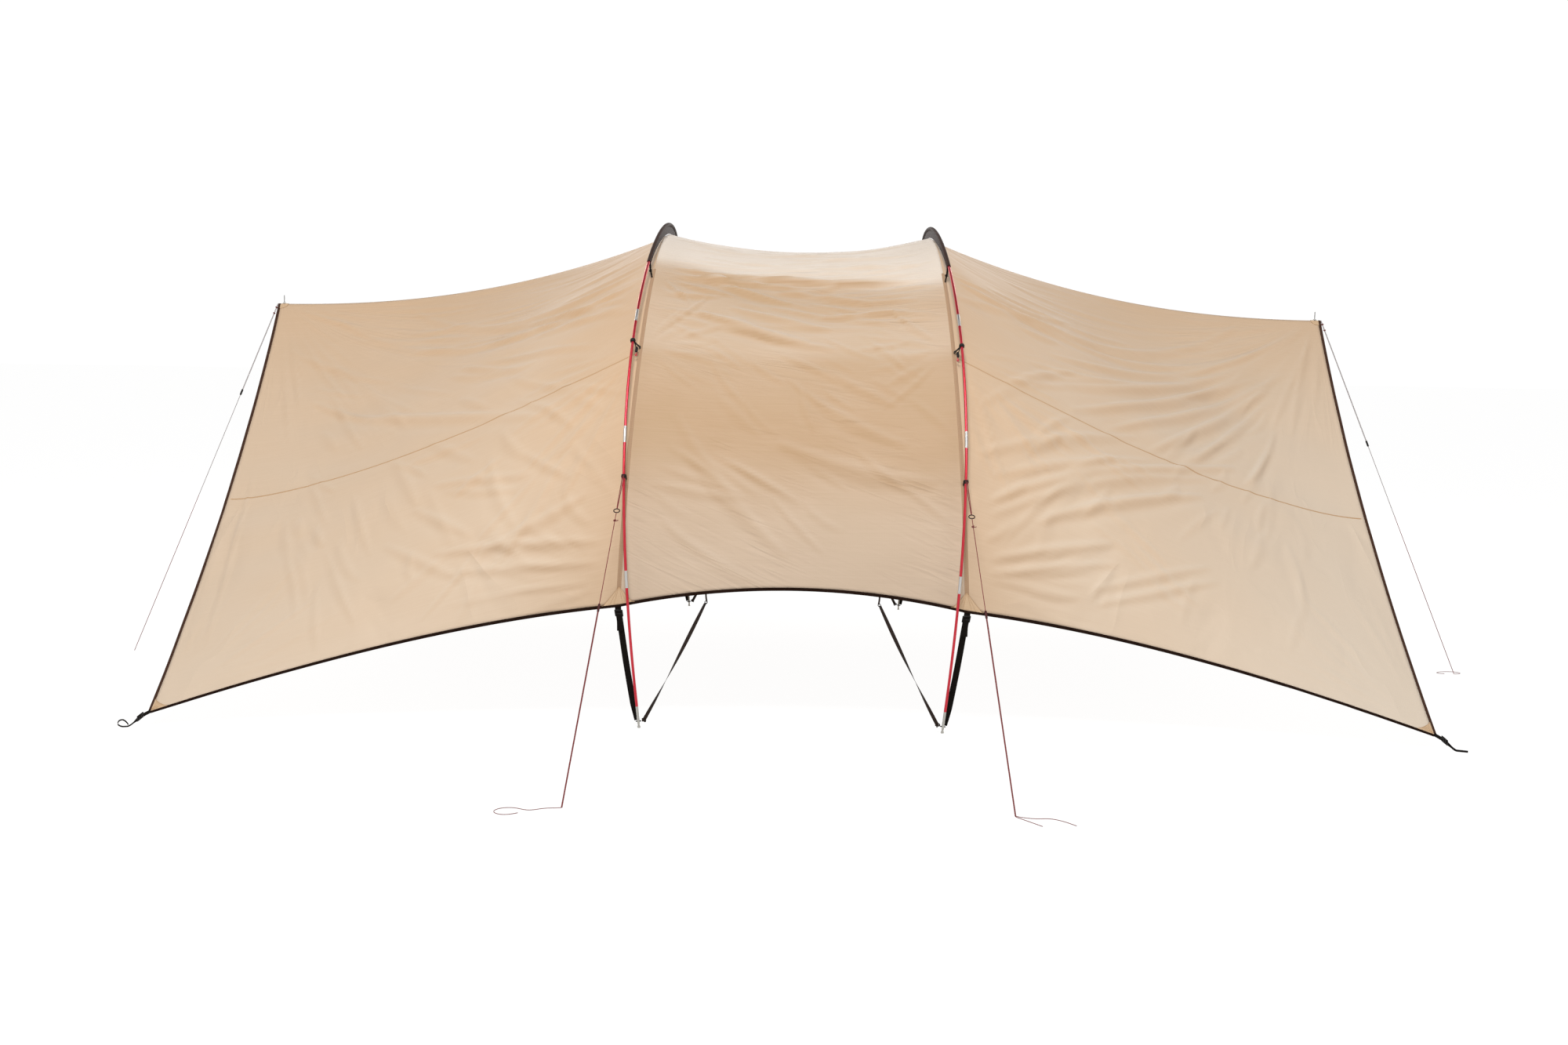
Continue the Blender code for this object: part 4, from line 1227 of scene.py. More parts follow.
@dataclass(frozen=True)
class WingCloth(Cloth):
    """Cloth from an arch down to an open end. The second share is t, 0 at the arch and 1 at the end."""

    span: float = SHAPE.wing_reach
    end: End = End.LEFT
    # Painted light towards the open end.
    open_end_painted_light: float = 0.10

    def base(self, v: Array, a: Array) -> Array:
        """Blend from the arch line to the straight-sided open end.

        The share of the arch line left at t is (1 - t) to a power that grows towards the ridge, so that
        the ridge dips as a hanging cloth does.

        Args:
            v: Down from the ridge, signed towards +Y.
            a: The second share.

        Returns:
            Points of the smooth surface.
        """
        down = np.abs(v)
        arch_x, arch_y, arch_z = SHAPE.under_arch(v, SHAPE.canopy_gap)
        end_x = (SHAPE.ridge_x + (SHAPE.corner_x - SHAPE.ridge_x) * down
                 - SHAPE.edge_bow * 4 * down * (1 - down))
        end_y = SHAPE.corner_y * v
        end_z = SHAPE.ridge_z + (SHAPE.corner_z - SHAPE.ridge_z) * down
        power = 1 + SHAPE.ridge_dip * np.clip(1 - down, 0, 1) ** SHAPE.ridge_dip_fade
        left = np.clip(1 - a, 0, None) ** power
        return np.stack([self.end.value * (arch_x + (end_x - arch_x) * a),
                         end_y + (arch_y - end_y) * left, end_z + (arch_z - end_z) * left], axis=-1)

    def fade(self, across: Array, down: Array) -> Array:
        """Painted light: paler down the wall, and towards the open end.

        Args:
            across: Metres across the cloth.
            down: Metres down the cloth.

        Returns:
            Share of the pale colour painted in.
        """
        wall = np.interp(down, [0.0, 0.5, 1.0, 1.5, 2.6], [0.18, 0.26, 0.31, 0.35, 0.52])
        inner = np.interp(across, [0.0, 0.5], [0.35, 1.0])
        outer = np.clip((across - 0.7) / 0.9, 0, 1) * np.clip(down / 1.2, 0, 1)
        return wall * inner + self.open_end_painted_light * (0.22 + 0.78 * outer)

    def calm(self, v: Array, a: Array) -> Array:
        """Creases die out at the arch, ease at the other edges and the seam, and are deepest half way down.

        Args:
            v: Down from the ridge, signed towards +Y.
            a: The second share.

        Returns:
            Share of the creases that is left.
        """
        across, down = self.metres(v, a)
        seam = 1 - 0.5 * np.exp(-(((down - SHAPE.wing_seam(a) * SHAPE.hem_arc) / 0.05) ** 2))
        upper = np.interp(down, [0.4, 0.9, 1.6, 2.2], [1.1, 2.4, 2.2, 1.6])
        open_end = 0.3 + 0.7 * rise_over(SHAPE.wing_reach - across, 0.06)
        hem = 0.35 + 0.65 * rise_over(SHAPE.hem_arc * SHAPE.wing_hem(a) - down, 0.08)
        return upper * seam * rise_over(across, 0.06) * open_end * hem * rise_over(down, 0.05)


# Creases of each cloth. Across is from the middle or the arch, and down is from the ridge.

VAULT_FOLDS = folds_of(
    (-56, 42, 16, 46, 30, 4, 10), (-10, 53, 62, 60, 28, 4, 12), (-50, 64, 22, 69, 26, 3.6),
    (14, 68, 64, 79, 22, 4), (-62, 86, 20, 91, 20, 5, 10), (-30, 90, 64, 93, 22, 6, 8),
    (-66, 92, 10, 96, 18, 4.5), (-10, 74, 50, 80, 20, 3.5), (-50, 84, 60, 95, 30, 6, 12),
    (-62, 95, -2, 91, 24, 4), (-42, 95, -2, 110, 28, 5), (-10, 99, 36, 112, 26, 3, -20),
    (-46, 122, 6, 138, 36, 8, 15), (-32, 116, 16, 130, 32, 5), (-19, 135, 20, 143, 26, 5),
    (26, 143, 50, 140, 18, 4), (-63, 100, -50, 115, 18, 3.5), (-37, 154, -22, 174, 22, 3.5),
    (0, 160, 8, 186, 24, 3), (12, 154, 44, 174, 30, 4), (6, 168, 48, 192, 36, 5, 20),
    (-8, 190, 60, 208, 50, 5.5, 30), (-50, 180, -2, 240, 45, 5, 30), (-60, 210, -20, 216, 26, 3))

RIGHT_FOLDS = folds_of(
    (4, 90, 145, 5, 40, 8, 140), (30, 86, 175, 5, 34, 6, 120), (45, 104, 172, 6, 36, 6, 60),
    (35, 130, 172, 9, 34, 5, 40), (45, 128, 170, 13, 40, 7, 30), (50, 142, 168, 18, 40, 8.2, 20),
    (66, 142, 160, 42, 36, 7), (84, 144, 152, 54, 36, 8), (105, 136, 148, 68, 30, 6),
    (6, 193, 80, 136, 36, 5), (12, 200, 86, 148, 34, 6), (12, 210, 125, 127, 38, 8.5, -20),
    (10, 218, 112, 142, 34, 7, -20), (28, 214, 106, 158, 34, 8, -10), (10, 236, 62, 209, 32, 7),
    (8, 243, 62, 219, 28, 6), (10, 245, 46, 241, 22, 4), (50, 236, 102, 203, 28, 5),
    (50, 243, 104, 210, 26, 5), (164, 56, 176, 10, 20, 6), (171, 66, 179, 22, 16, 3.5))

LEFT_FOLDS = folds_of(
    (10, 80, 120, 8, 38, 6.4, 120), (14, 93, 160, 5, 28, 4.8, 140), (55, 44, 86, 30, 24, 2.8),
    (140, 22, 174, 4, 18, 4.4), (130, 16, 170, 3, 18, 2.8), (136, 60, 172, 36, 22, 3.2),
    (118, 74, 166, 42, 24, 3.2), (130, 80, 158, 65, 18, 2.4), (126, 100, 156, 76, 22, 3.2),
    (37, 162, 142, 90, 40, 5.2, -20), (86, 62, 120, 50, 24, 2.4), (130, 152, 144, 134, 20, 2.8),
    (40, 190, 84, 173, 32, 4), (44, 196, 78, 180, 26, 4), (16, 209, 54, 220, 40, 5.6),
    (8, 232, 78, 214, 32, 6, -10), (8, 241, 70, 226, 30, 4.8), (105, 240, 126, 192, 24, 3.6),
    (105, 204, 120, 160, 24, 2.8), (62, 211, 90, 184, 28, 4.4), (62, 233, 100, 200, 28, 4),
    (176, 230, 180, 120, 16, 5), (168, 230, 173, 120, 16, 5))


@dataclass
class Canopy:
    """The three stretched cloths with their seams, patches and hem gussets.
    """

    finishes: Finishes
    thickness: float = 0.9 * MM
    # Share of painted highlight and shade on each crease, by its slope.
    crease_painted_light: float = 0.45
    vault_rows: int = 401
    vault_columns: int = 121
    wing_rows: int = 345
    wing_columns: int = 141
    seam_width: float = 7 * MM
    seam_lift: float = 0.7 * MM
    arch_seam_width: float = 17 * MM
    tape_lift: float = 1.0 * MM
    patch_radius: float = 0.062
    patch_thickness: float = 0.7 * MM
    patch_lift: float = 1.3 * MM
    gusset_lift: float = 2.4 * MM
    eyelet_radius: float = 5 * MM
    ridge_patch_radius: float = 0.036
    stitch_radius: float = 0.9 * MM
    turned_in: tuple[float, float] = (1.02, 1.01)
    gusset_height: float = 0.074
    gusset_half_width: float = 0.064
    vault: VaultCloth = field(init=False)
    wings: dict[End, WingCloth] = field(init=False)

    def __post_init__(self) -> None:
        """Lay the creases over each cloth."""
        hook, foot, ridge_end = (0.0, 1.48), (0.0, 2.5), (SHAPE.wing_reach, 0.0)
        corner, sides = (SHAPE.wing_reach, SHAPE.hem_arc), SHAPE.seam_x
        vault_fans = (fan_of_folds(3, (-sides, 1.46), (-60, 40), (0.05, 0.5), 9, 0.026, 0.0032)
                      + fan_of_folds(4, (sides, 1.46), (140, 230), (0.05, 0.5), 9, 0.026, 0.0032)
                      + strewn_folds(5, 16, (-0.5, 0.5, 0.35, 0.82), (30.0, 0.3), (0.35, 1.0), 0.028, 0.0036)
                      + strewn_folds(6, 26, (-0.6, 0.6, 0.80, 1.30), (30.0, 4.0), (0.15, 0.6), 0.028, 0.0040)
                      + strewn_folds(7, 16, (-0.5, 0.6, 1.28, 1.75), (3.0, 4.0), (0.12, 0.36), 0.028, 0.0036)
                      + strewn_folds(8, 18, (-0.6, 0.6, 1.70, 2.50), (3.0, 4.2), (0.14, 0.45), 0.030, 0.0038))
        self.vault = VaultCloth(folds=VAULT_FOLDS + tuple(vault_fans), swell_seed=11)
        self.wings = {}
        # Each wing's painted light towards its open end; the right wing is lit more.
        for end, own, seed, open_end_painted_light in ((End.LEFT, LEFT_FOLDS, 21, 0.15),
                                          (End.RIGHT, RIGHT_FOLDS, 31, 0.42)):
            fans = (fan_of_folds(seed, ridge_end, (100, 172), (0.12, 1.2), 17, 0.028, 0.0036)
                    + fan_of_folds(seed + 1, corner, (185, 262), (0.15, 0.9), 8, 0.026, 0.0024)
                    + fan_of_folds(seed + 2, hook, (-35, 65), (0.06, 0.7), 9, 0.026, 0.0030)
                    + fan_of_folds(seed + 3, foot, (-55, 5), (0.08, 0.8), 9, 0.026, 0.0032)
                    + strewn_folds(seed + 4, 30, (0.15, 1.5, 0.25, 1.35), ridge_end, (0.15, 0.7), 0.032,
                                   0.0044)
                    + strewn_folds(seed + 5, 26, (0.10, 1.5, 1.30, 2.35), ridge_end, (0.14, 0.5), 0.032,
                                   0.0040)
                    + strewn_folds(seed + 6, 16, (0.05, 0.9, 1.50, 2.45), hook, (0.14, 0.4), 0.030, 0.0036))
            self.wings[end] = WingCloth(folds=own + tuple(fans), swell_seed=seed, end=end,
                                        open_end_painted_light=open_end_painted_light, outward=float(end.value))

    def build(self) -> None:
        """Build the cloths, then what is sewn to them."""
        self.build_cloths()
        self.build_seams()
        self.build_patches()

    def build_cloths(self) -> None:
        """Fine grids over the vault and the wings."""
        share = np.linspace(-1, 1, self.vault_rows)[:, None]
        k = np.linspace(-1, 1, self.vault_columns)[None, :]
        v = share * SHAPE.vault_hem(k)
        nodes = ["vault_roof", "vault_wall_near", "vault_wall_far"]
        self.add_cloth("canopy_vault", self.vault, v, k, nodes, False, self.finishes.vault_cloth)
        t = np.linspace(0, 1, self.wing_columns)[None, :]
        share = np.linspace(-1, 1, self.wing_rows)[:, None]
        v = share * SHAPE.wing_hem(t)
        for end, cloth in self.wings.items():
            nodes = ["wing_roof_" + end.word] + ["wing_wall_%s_%s" % (s.word, end.word) for s in Side]
            self.add_cloth("canopy_wing_" + end.word, cloth, v, t, nodes, end is End.LEFT,
                           self.finishes.wing_cloth)

    def add_cloth(self, name: str, cloth: Cloth, v: Array, a: Array, nodes: list[str],
                  flip: bool, finish: Material) -> None:
        """One cloth.

        A pale colour is mixed into its colour as painted light and shade by its place. The creases get a
        painted highlight and shade, paler where a crease turns it to the sky, by the crease's slope down the
        cloth times a set share.

        Args:
            name: Name of the piece.
            cloth: Surface to follow.
            v: Rows and columns of v.
            a: Columns of the second share.
            nodes: Packed panels that it replaces.
            flip: Turn its faces to the other side.
            finish: Its material.
        """
        v, a = np.broadcast_arrays(v, a)
        points = cloth.point(v, a)
        across, down = cloth.metres(v, a)
        half = np.where(v < 0, -1.0, 1.0)
        uv = np.stack([across, down * half], axis=-1)
        piece = place_piece(name, [grid_shell(points, uv, flip)], finish, nodes, True)
        # Painted highlight and shade on the creases, by their slope down the cloth.
        slope = np.gradient(cloth.relief(v, a), axis=0) / np.gradient(uv[..., 1], axis=0) * half
        painted_pale = np.clip(cloth.fade(across, down) + self.crease_painted_light * slope, 0, 1)
        fade = piece.data.attributes.new("fade", "FLOAT", "POINT")
        fade.data.foreach_set("value", painted_pale.astype(np.float32).ravel())
        thicken(piece, self.thickness, -1.0)
        smooth = cloth.base(v, a)

    def ribbon(self, cloth: Cloth, v: Array, a: Array, across: tuple[Array, Array],
               width: float, lift: float) -> Shell:
        """Closed flat strip that follows a line on a cloth.

        Args:
            cloth: Surface to follow.
            v: v along the line.
            a: Second share along the line.
            across: Change of v and of the second share for one metre across the line.
            width: Width of the strip.
            lift: Height of its middle above the cloth.

        Returns:
            The strip.
        """
        outline = rounded_bar(width, 2 * lift, 3.0, 12)
        points = np.stack([cloth.point(v + across[0] * x, a + across[1] * x, z) for x, z in outline], axis=1)
        return skin(points, walked(points[:, 0]), np.append(outline[:, 0], outline[0, 0]))

    def build_seams(self) -> None:
        """Felled seams between roof and wall on the wings, and the taped seams down the arches."""
        panel, taped = [], []
        t = np.linspace(0.006, 0.992, 120)
        half = self.arch_seam_width / 2
        for side, end in CORNERS:
            seam = self.ribbon(self.wings[end], side.value * SHAPE.wing_seam(t), t,
                               (np.full_like(t, 1 / SHAPE.hem_arc), np.zeros_like(t)), self.seam_width,
                               self.seam_lift)
            panel.append(seam.turned(side.value * end.value < 0))
            v = side.value * np.linspace(0.35, 1.0, 130)
            for cloth, a, way, flip in (
                    (self.wings[end], half / 2 / SHAPE.wing_reach, 1 / SHAPE.wing_reach, end is End.LEFT),
                    (self.vault, end.value * (1 - half / 2 / SHAPE.seam_x), 1 / SHAPE.seam_x, False)):
                strip = self.ribbon(cloth, v, np.full_like(v, a), (np.zeros_like(v), np.full_like(v, way)),
                                    half, self.tape_lift)
                taped.append(strip.turned(flip == (side.value > 0)))
        place_piece("wing_panel_seams", panel, self.finishes.seam)
        place_piece("arch_seam_tapes", taped, self.finishes.seam_tape)

    def build_patches(self) -> None:
        """Corner patches, half-round patches at the ridge ends and hem gussets, all of doubled cloth.

        A place on a corner patch is a share s out from the corner and t round it. It lies s (1 - t) along
        the hem and s t up the edge, each drawn in a little half way round, so that the long side is hollow.
        """
        reach = SHAPE.wing_reach
        stitches = []
        share = np.linspace(0, 1, 9)
        first, second = share[:, None], share[None, :]
        x = first * (1 - second) * (1 - 0.25 * first * second)
        y = first * second * (1 - 0.25 * first * (1 - second))
        shells = []
        for side, end in CORNERS:
            cloth = self.wings[end]
            t = 1 - x * self.patch_radius / reach
            v = side.value * (SHAPE.wing_hem(t) - y * self.patch_radius / SHAPE.hem_arc)
            points = cloth.point(v, t, self.patch_lift)
            uv = np.stack([x, y], axis=-1) * self.patch_radius
            shells.append(grid_shell(points, uv, side.value * end.value > 0))
            lines = [points[-1, :]] + [points[1:, column] for column in (2, 3, 4, 5, 6)]
            stitches += [tube(line, self.stitch_radius, 6) for line in lines]
        angle = np.linspace(-np.pi / 2, np.pi / 2, 25)[:, None]
        radius = np.linspace(self.eyelet_radius, self.ridge_patch_radius, 8)[None, :]
        for end, cloth in self.wings.items():
            t = 1 - radius * np.cos(angle) / reach
            v = radius * np.sin(angle) / SHAPE.hem_arc
            points = cloth.point(v, t, self.patch_lift)
            uv = np.stack(np.broadcast_arrays(radius * np.cos(angle), radius * np.sin(angle)), axis=-1)
            shells.append(grid_shell(points, uv, end is End.RIGHT))
            stitches.append(tube(points[:, -1], self.stitch_radius, 6))
        for side, end in CORNERS:
            gusset = self.gusset(side, end)
            shells.append(gusset)
            rows = gusset.points.reshape(11, 15, 3)
            stitches += [tube(rows[:, column], self.stitch_radius, 6) for column in (0, 3, 5, 9, 11, 14)]
        place_piece("patch_stitching", stitches, self.finishes.seam)
        piece = place_piece("reinforcing_patches", shells, self.finishes.patch, (), True)
        thicken(piece, self.patch_thickness, 0.0)

    def gusset(self, side: Side, end: End) -> Shell:
        """Triangle of cloth over the foot of an arch seam, half on the vault and half on the wing.

        Args:
            side: Long side.
            end: Wing end.

        Returns:
            The triangle.
        """
        lift = self.gusset_lift
        down = np.linspace(0.02, 1, 11)[:, None]
        across = np.linspace(-1, 1, 15)[None, :] * down * self.gusset_half_width
        v = side.value * (1 - (1 - down) * self.gusset_height / SHAPE.hem_arc) * np.ones_like(across)
        t = np.abs(across) / SHAPE.wing_reach
        on_wing = self.wings[end].point(np.minimum(np.abs(v), SHAPE.wing_hem(t)) * np.sign(v), t, lift)
        k = end.value * (1 - np.abs(across) / SHAPE.seam_x)
        on_vault = self.vault.point(np.minimum(np.abs(v), SHAPE.vault_hem(k)) * np.sign(v), k, lift)
        points = np.where((across >= 0)[..., None], on_wing, on_vault)
        uv = np.stack([across, down * self.gusset_height * np.ones_like(across)], axis=-1)
        return grid_shell(points, uv, side.value * end.value < 0)


@dataclass
class Bindings:
    """Folded tape round the hems and the open ends."""

    finishes: Finishes
    canopy: Canopy
    width: float = 13.0 * MM
    thickness: float = 3.0 * MM
    outset: float = 4.9 * MM

    def build(self) -> None:
        """Build all four tapes."""
        outline = rounded_bar(self.width, self.thickness, 3.0, 14)
        t = np.linspace(0, 1, 130)
        k = np.linspace(-1, 1, 90)
        step = 0.002
        for side in Side:
            rows = []
            for lift in (0.0, step):
                wing = [cloth.point(side.value * (SHAPE.wing_hem(t) - lift), t)
                        for cloth in self.canopy.wings.values()]
                middle = self.canopy.vault.point(side.value * (SHAPE.vault_hem(k) - lift), k)
                rows.append(np.concatenate([wing[0][::-1], middle[1:-1], wing[1]]))
            self.add_tape("hem_tape_" + side.word, rows[0], rows[0] - rows[1], outline,
                          "hem_binding_" + side.word, self.finishes.binding)
        v = np.linspace(-1, 1, 241)
        for end, cloth in self.canopy.wings.items():
            path = cloth.point(v, np.ones_like(v))
            inner = cloth.point(v, np.full_like(v, 0.99))
            self.add_tape("end_tape_" + end.word, path, path - inner, outline, "edge_binding_" + end.word,
                          self.finishes.end_binding)

    def add_tape(self, name: str, path: Array, away: Array, outline: Array, node: str,
                 finish: Material) -> None:
        """One tape along an edge of the cloth.

        Args:
            name: Name of the piece.
            path: Edge of the cloth.
            away: Directions from the cloth across its edge.
            outline: Outline of the folded tape.
            node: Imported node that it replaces.
            finish: Material of the tape.
        """
        away = unit(away)
        side, up = frames(path + away * self.outset, away)
        tape = sweep(path + side * self.outset, outline, side, up)
        place_piece(name, [tape], finish, [node])


@dataclass
class ArchPoles:
    """Two jointed poles with their ferrules, tips, mesh sleeves and sleeve ties."""

    finishes: Finishes
    radius: float = 5.5 * MM
    tip_length: float = 0.090
    tip_radius: float = 4.8 * MM
    section: float = 0.58
    first_joint: float = 0.62
    ferrule_radius: float = 6.1 * MM
    ferrule_length: float = 0.068
    joints_a_side: int = 5
    sleeve_half: float = 0.94
    sleeve_taper: float = 0.42
    tunnel_radius: float = 8.5 * MM
    web_half: float = 0.7 * MM
    draw_in: float = 0.8
    tie_reach: tuple[float, float] = (-12 * MM, 60 * MM)
    tie: tuple[float, float] = (9 * MM, 1.4 * MM)

    def build(self) -> None:
        """Build both poles and what is on them."""
        for end in End:
            self.build_tube(end)
            self.build_sleeve(end)
            for side in Side:
                self.build_tip(side, end)

    def build_tube(self, end: End) -> None:
        """Red tube from tip to tip, and the bright joints on it.

        Args:
            end: Wing end that the pole stands at.
        """
        reach = SHAPE.arch_half - self.tip_length
        path = SHAPE.pole(np.linspace(-reach, reach, 420), end)
        place_piece("arch_tube_" + end.word, [bar(path, circle(self.radius, 16), LEVEL_X)],
                    self.finishes.red_tube, ["arch_pole_" + end.word])
        joints = []
        shoulder = np.array([0.76, 0.78, 0.80, 0.97, 1.0, 1.0])
        offset = np.concatenate([-shoulder[::-1], [0.0], shoulder]) * self.ferrule_length / 2
        half_size = [1.0, 0.96, 1.0, 1.0, 0.97, 0.86]
        size = np.array(half_size[::-1] + [1.0] + half_size)
        nudge = np.linspace(-0.1, 0.1, len(offset)) * MM
        for number in range(self.joints_a_side):
            for sign in (-1, 1):
                centre = sign * (SHAPE.arch_half - self.first_joint - self.section * number)
                path = SHAPE.pole(centre + offset + nudge, end)
                joints.append(bar(path, circle(self.ferrule_radius, 16), LEVEL_X, size))
        place_piece("pole_joints_" + end.word, joints, self.finishes.bare_tube)

    def build_tip(self, side: Side, end: End) -> None:
        """Turned tip: a plug with a groove, a stem and a round foot on the ground.

        Args:
            side: Long side.
            end: Wing end.
        """
        top = SHAPE.pole(side.value * (SHAPE.arch_half - self.tip_length), end)
        foot = SHAPE.pole(side.value * SHAPE.arch_half, end)
        foot[2] = 0.0
        share = np.array([0.0, 0.0, 0.03, 0.40, 0.42, 0.46, 0.48, 0.80, 0.86, 0.90, 0.94, 0.98, 1.0, 1.0])
        size = np.array([0.8, 1.0, 1.12, 1.12, 1.0, 1.0, 1.12, 1.05, 0.8, 0.9, 1.3, 1.3, 1.2, 0.9])
        path = top + (foot - top) * (share + np.linspace(0, 0.002, len(share)))[:, None] / 1.002
        stem = bar(path, circle(self.tip_radius, 16), LEVEL_X, size)
        eye = ring(foot + np.array([0, side.value * 7.5, 9]) * MM, [1.0, 0.0, 0.2], 4.2 * MM, 1.1 * MM)
        place_piece(named("tip", side, end), [stem, eye], self.finishes.tip,
                    [named("pole_tip", side, end)])

    def build_sleeve(self, end: End) -> None:
        """Mesh sleeve: a tunnel round the pole, a web to the cloth that narrows at the ends, and its ties.

        Args:
            end: Wing end that the pole stands at.
        """
        arcs = np.linspace(-self.sleeve_half, self.sleeve_half, 180)
        place, along, inward, depth = SHAPE.pole_frame(arcs, end)
        sideways = unit(np.cross(inward, along))
        turn = np.radians(np.linspace(28, 332, 16))
        tunnel = np.stack([np.sin(turn), np.cos(turn)], axis=-1) * self.tunnel_radius
        web = float(depth.min()) - 1.2 * MM
        steps = np.linspace(web, self.tunnel_radius * 1.05, 5)
        left = np.stack([np.full(5, self.web_half), steps], axis=-1)
        outline = np.concatenate([left, tunnel, left[::-1] * (-1, 1)])
        shell = sweep(place, outline, sideways, inward)
        drawn_in = self.draw_in * (1 - rise_over(self.sleeve_half - np.abs(arcs), self.sleeve_taper))
        beyond = np.clip(outline[:, 1] - self.tunnel_radius, 0, None)
        shift = (drawn_in[:, None] * beyond)[..., None] * inward[:, None, :]
        shell = Shell(shell.points - shift.reshape(-1, 3), shell.quads, shell.corner_uv, shell.caps)
        place_piece("mesh_sleeve_" + end.word, [shell.turned()], self.finishes.mesh,
                    ["pole_sleeve_" + end.word])
        ties = []
        for side in Side:
            arc = side.value * (self.sleeve_half + np.linspace(*self.tie_reach, 14))
            place, along, inward, depth = SHAPE.pole_frame(arc, end)
            share = np.linspace(0, 1, 14)[:, None]
            path = place + inward * (0.010 + (depth - 0.012) * share ** 1.5)
            ties.append(bar(path, rounded_bar(*self.tie), unit(np.cross(inward, along)),
                            1 - 0.35 * share[:, 0] ** 2))
            ties.append(knot(path[8], path[9] - path[8], 6 * MM, 1.8 * MM))
        place_piece("sleeve_ties_" + end.word, ties, self.finishes.webbing)


@dataclass
class PoleClips:
    """Snap hooks that hold the cloth to the bare part of the poles.

    A collar is three rings, each given by its shift along the pole, its radius and its wire's in mm. The
    jaw has a width and height, and the toggle a length too. The eye has its distance from the cloth, its
    radius and its wire's.
    """

    finishes: Finishes
    arcs: dict[Level, float] = field(default_factory=lambda: {Level.LOWER: 2.09, Level.UPPER: 1.48})
    collar: tuple[tuple[float, float, float], ...] = ((0, 8.4, 3.1), (5, 7.8, 2.6), (-5, 7.8, 2.6))
    jaw: tuple[float, float] = (6 * MM, 9 * MM)
    toggle: tuple[float, float, float] = (11 * MM, 9 * MM, 26 * MM)
    cord_radius: float = 1.3 * MM
    neck_start: float = 9 * MM
    eye: tuple[float, float, float] = (6 * MM, 5.2 * MM, 1.7 * MM)
    stem_radius: float = 2.0 * MM
    loop_length: float = 34 * MM

    def build(self) -> None:
        """Build the hooks at both heights of each pole."""
        for side, end in CORNERS:
            for level in Level:
                self.build_clip(side, end, level)

    def build_clip(self, side: Side, end: End, level: Level) -> None:
        """One hook: a collar round the pole, a jaw, and a shank to a tab on the seam.

        Args:
            side: Long side.
            end: Wing end.
            level: Height of the hook.
        """
        place, along, inward, depth = SHAPE.pole_frame(side.value * self.arcs[level], end)
        across = unit(np.cross(along, inward))
        shells = [ring(place + along * shift * MM, along, major * MM, minor * MM)
                  for shift, major, minor in self.collar]
        reach = float(depth[0])
        neck = straight(place + inward * self.neck_start, place + inward * (reach - self.neck_start), 5)
        shells.append(bar(neck, rounded_bar(*self.jaw), across, np.array([1.1, 0.9, 0.75, 0.8, 1.0])))
        shells.append(ring(place + inward * (reach - self.eye[0]), across, *self.eye[1:]))
        if level is Level.UPPER:
            down = along * (1 if along[2] < 0 else -1)
            lower = place + inward * (reach * 0.55) + down * self.toggle[2]
            shells.append(pillow(lower, down, across, self.toggle))
            shells.append(tube(straight(place + inward * 12 * MM, lower, 4), self.stem_radius))
            bow = lower + down * 16 * MM + inward * 4 * MM
            cord = curve_through([lower, bow, lower + down * self.loop_length], 12)
            place_piece(named("toggle_cord", side, end),
                        [tube(cord, self.cord_radius), knot(cord[-3], down, 4.5 * MM, self.cord_radius)],
                        self.finishes.red_cord)
        place_piece(named("snap_hook_" + level.word, side, end), shells, self.finishes.black_part,
                    [named("pole_clip_" + level.word, side, end)])


@dataclass(frozen=True)
class LadderLock:
    """Moulded webbing buckle: two rails joined by four cross bars."""

    width: float = 33 * MM
    length: float = 27 * MM
    rail: float = 4.2 * MM

    def shells(self, place: Array, along: Array, across: Array) -> list[Shell]:
        """Shapes of one buckle.

        Args:
            place: Centre.
            along: Direction of the webbing.
            across: Direction of its width.

        Returns:
            The shapes.
        """
        along, across = unit(along), unit(across)
        up = np.cross(across, along)
        shells = []
        for sign in (-1, 1):
            middle = place + across * sign * (self.width - self.rail) / 2
            shells.append(pillow(middle, along, across, (self.rail, self.rail * 1.2, self.length)))
        for share, lift in ((-0.44, 0.0), (-0.16, 1.6 * MM), (0.14, -0.6 * MM), (0.44, 1.2 * MM)):
            middle = place + along * share * self.length + up * lift
            shells.append(pillow(middle, across, along, (self.rail, self.rail * 0.8, self.width * 0.96)))
        return shells


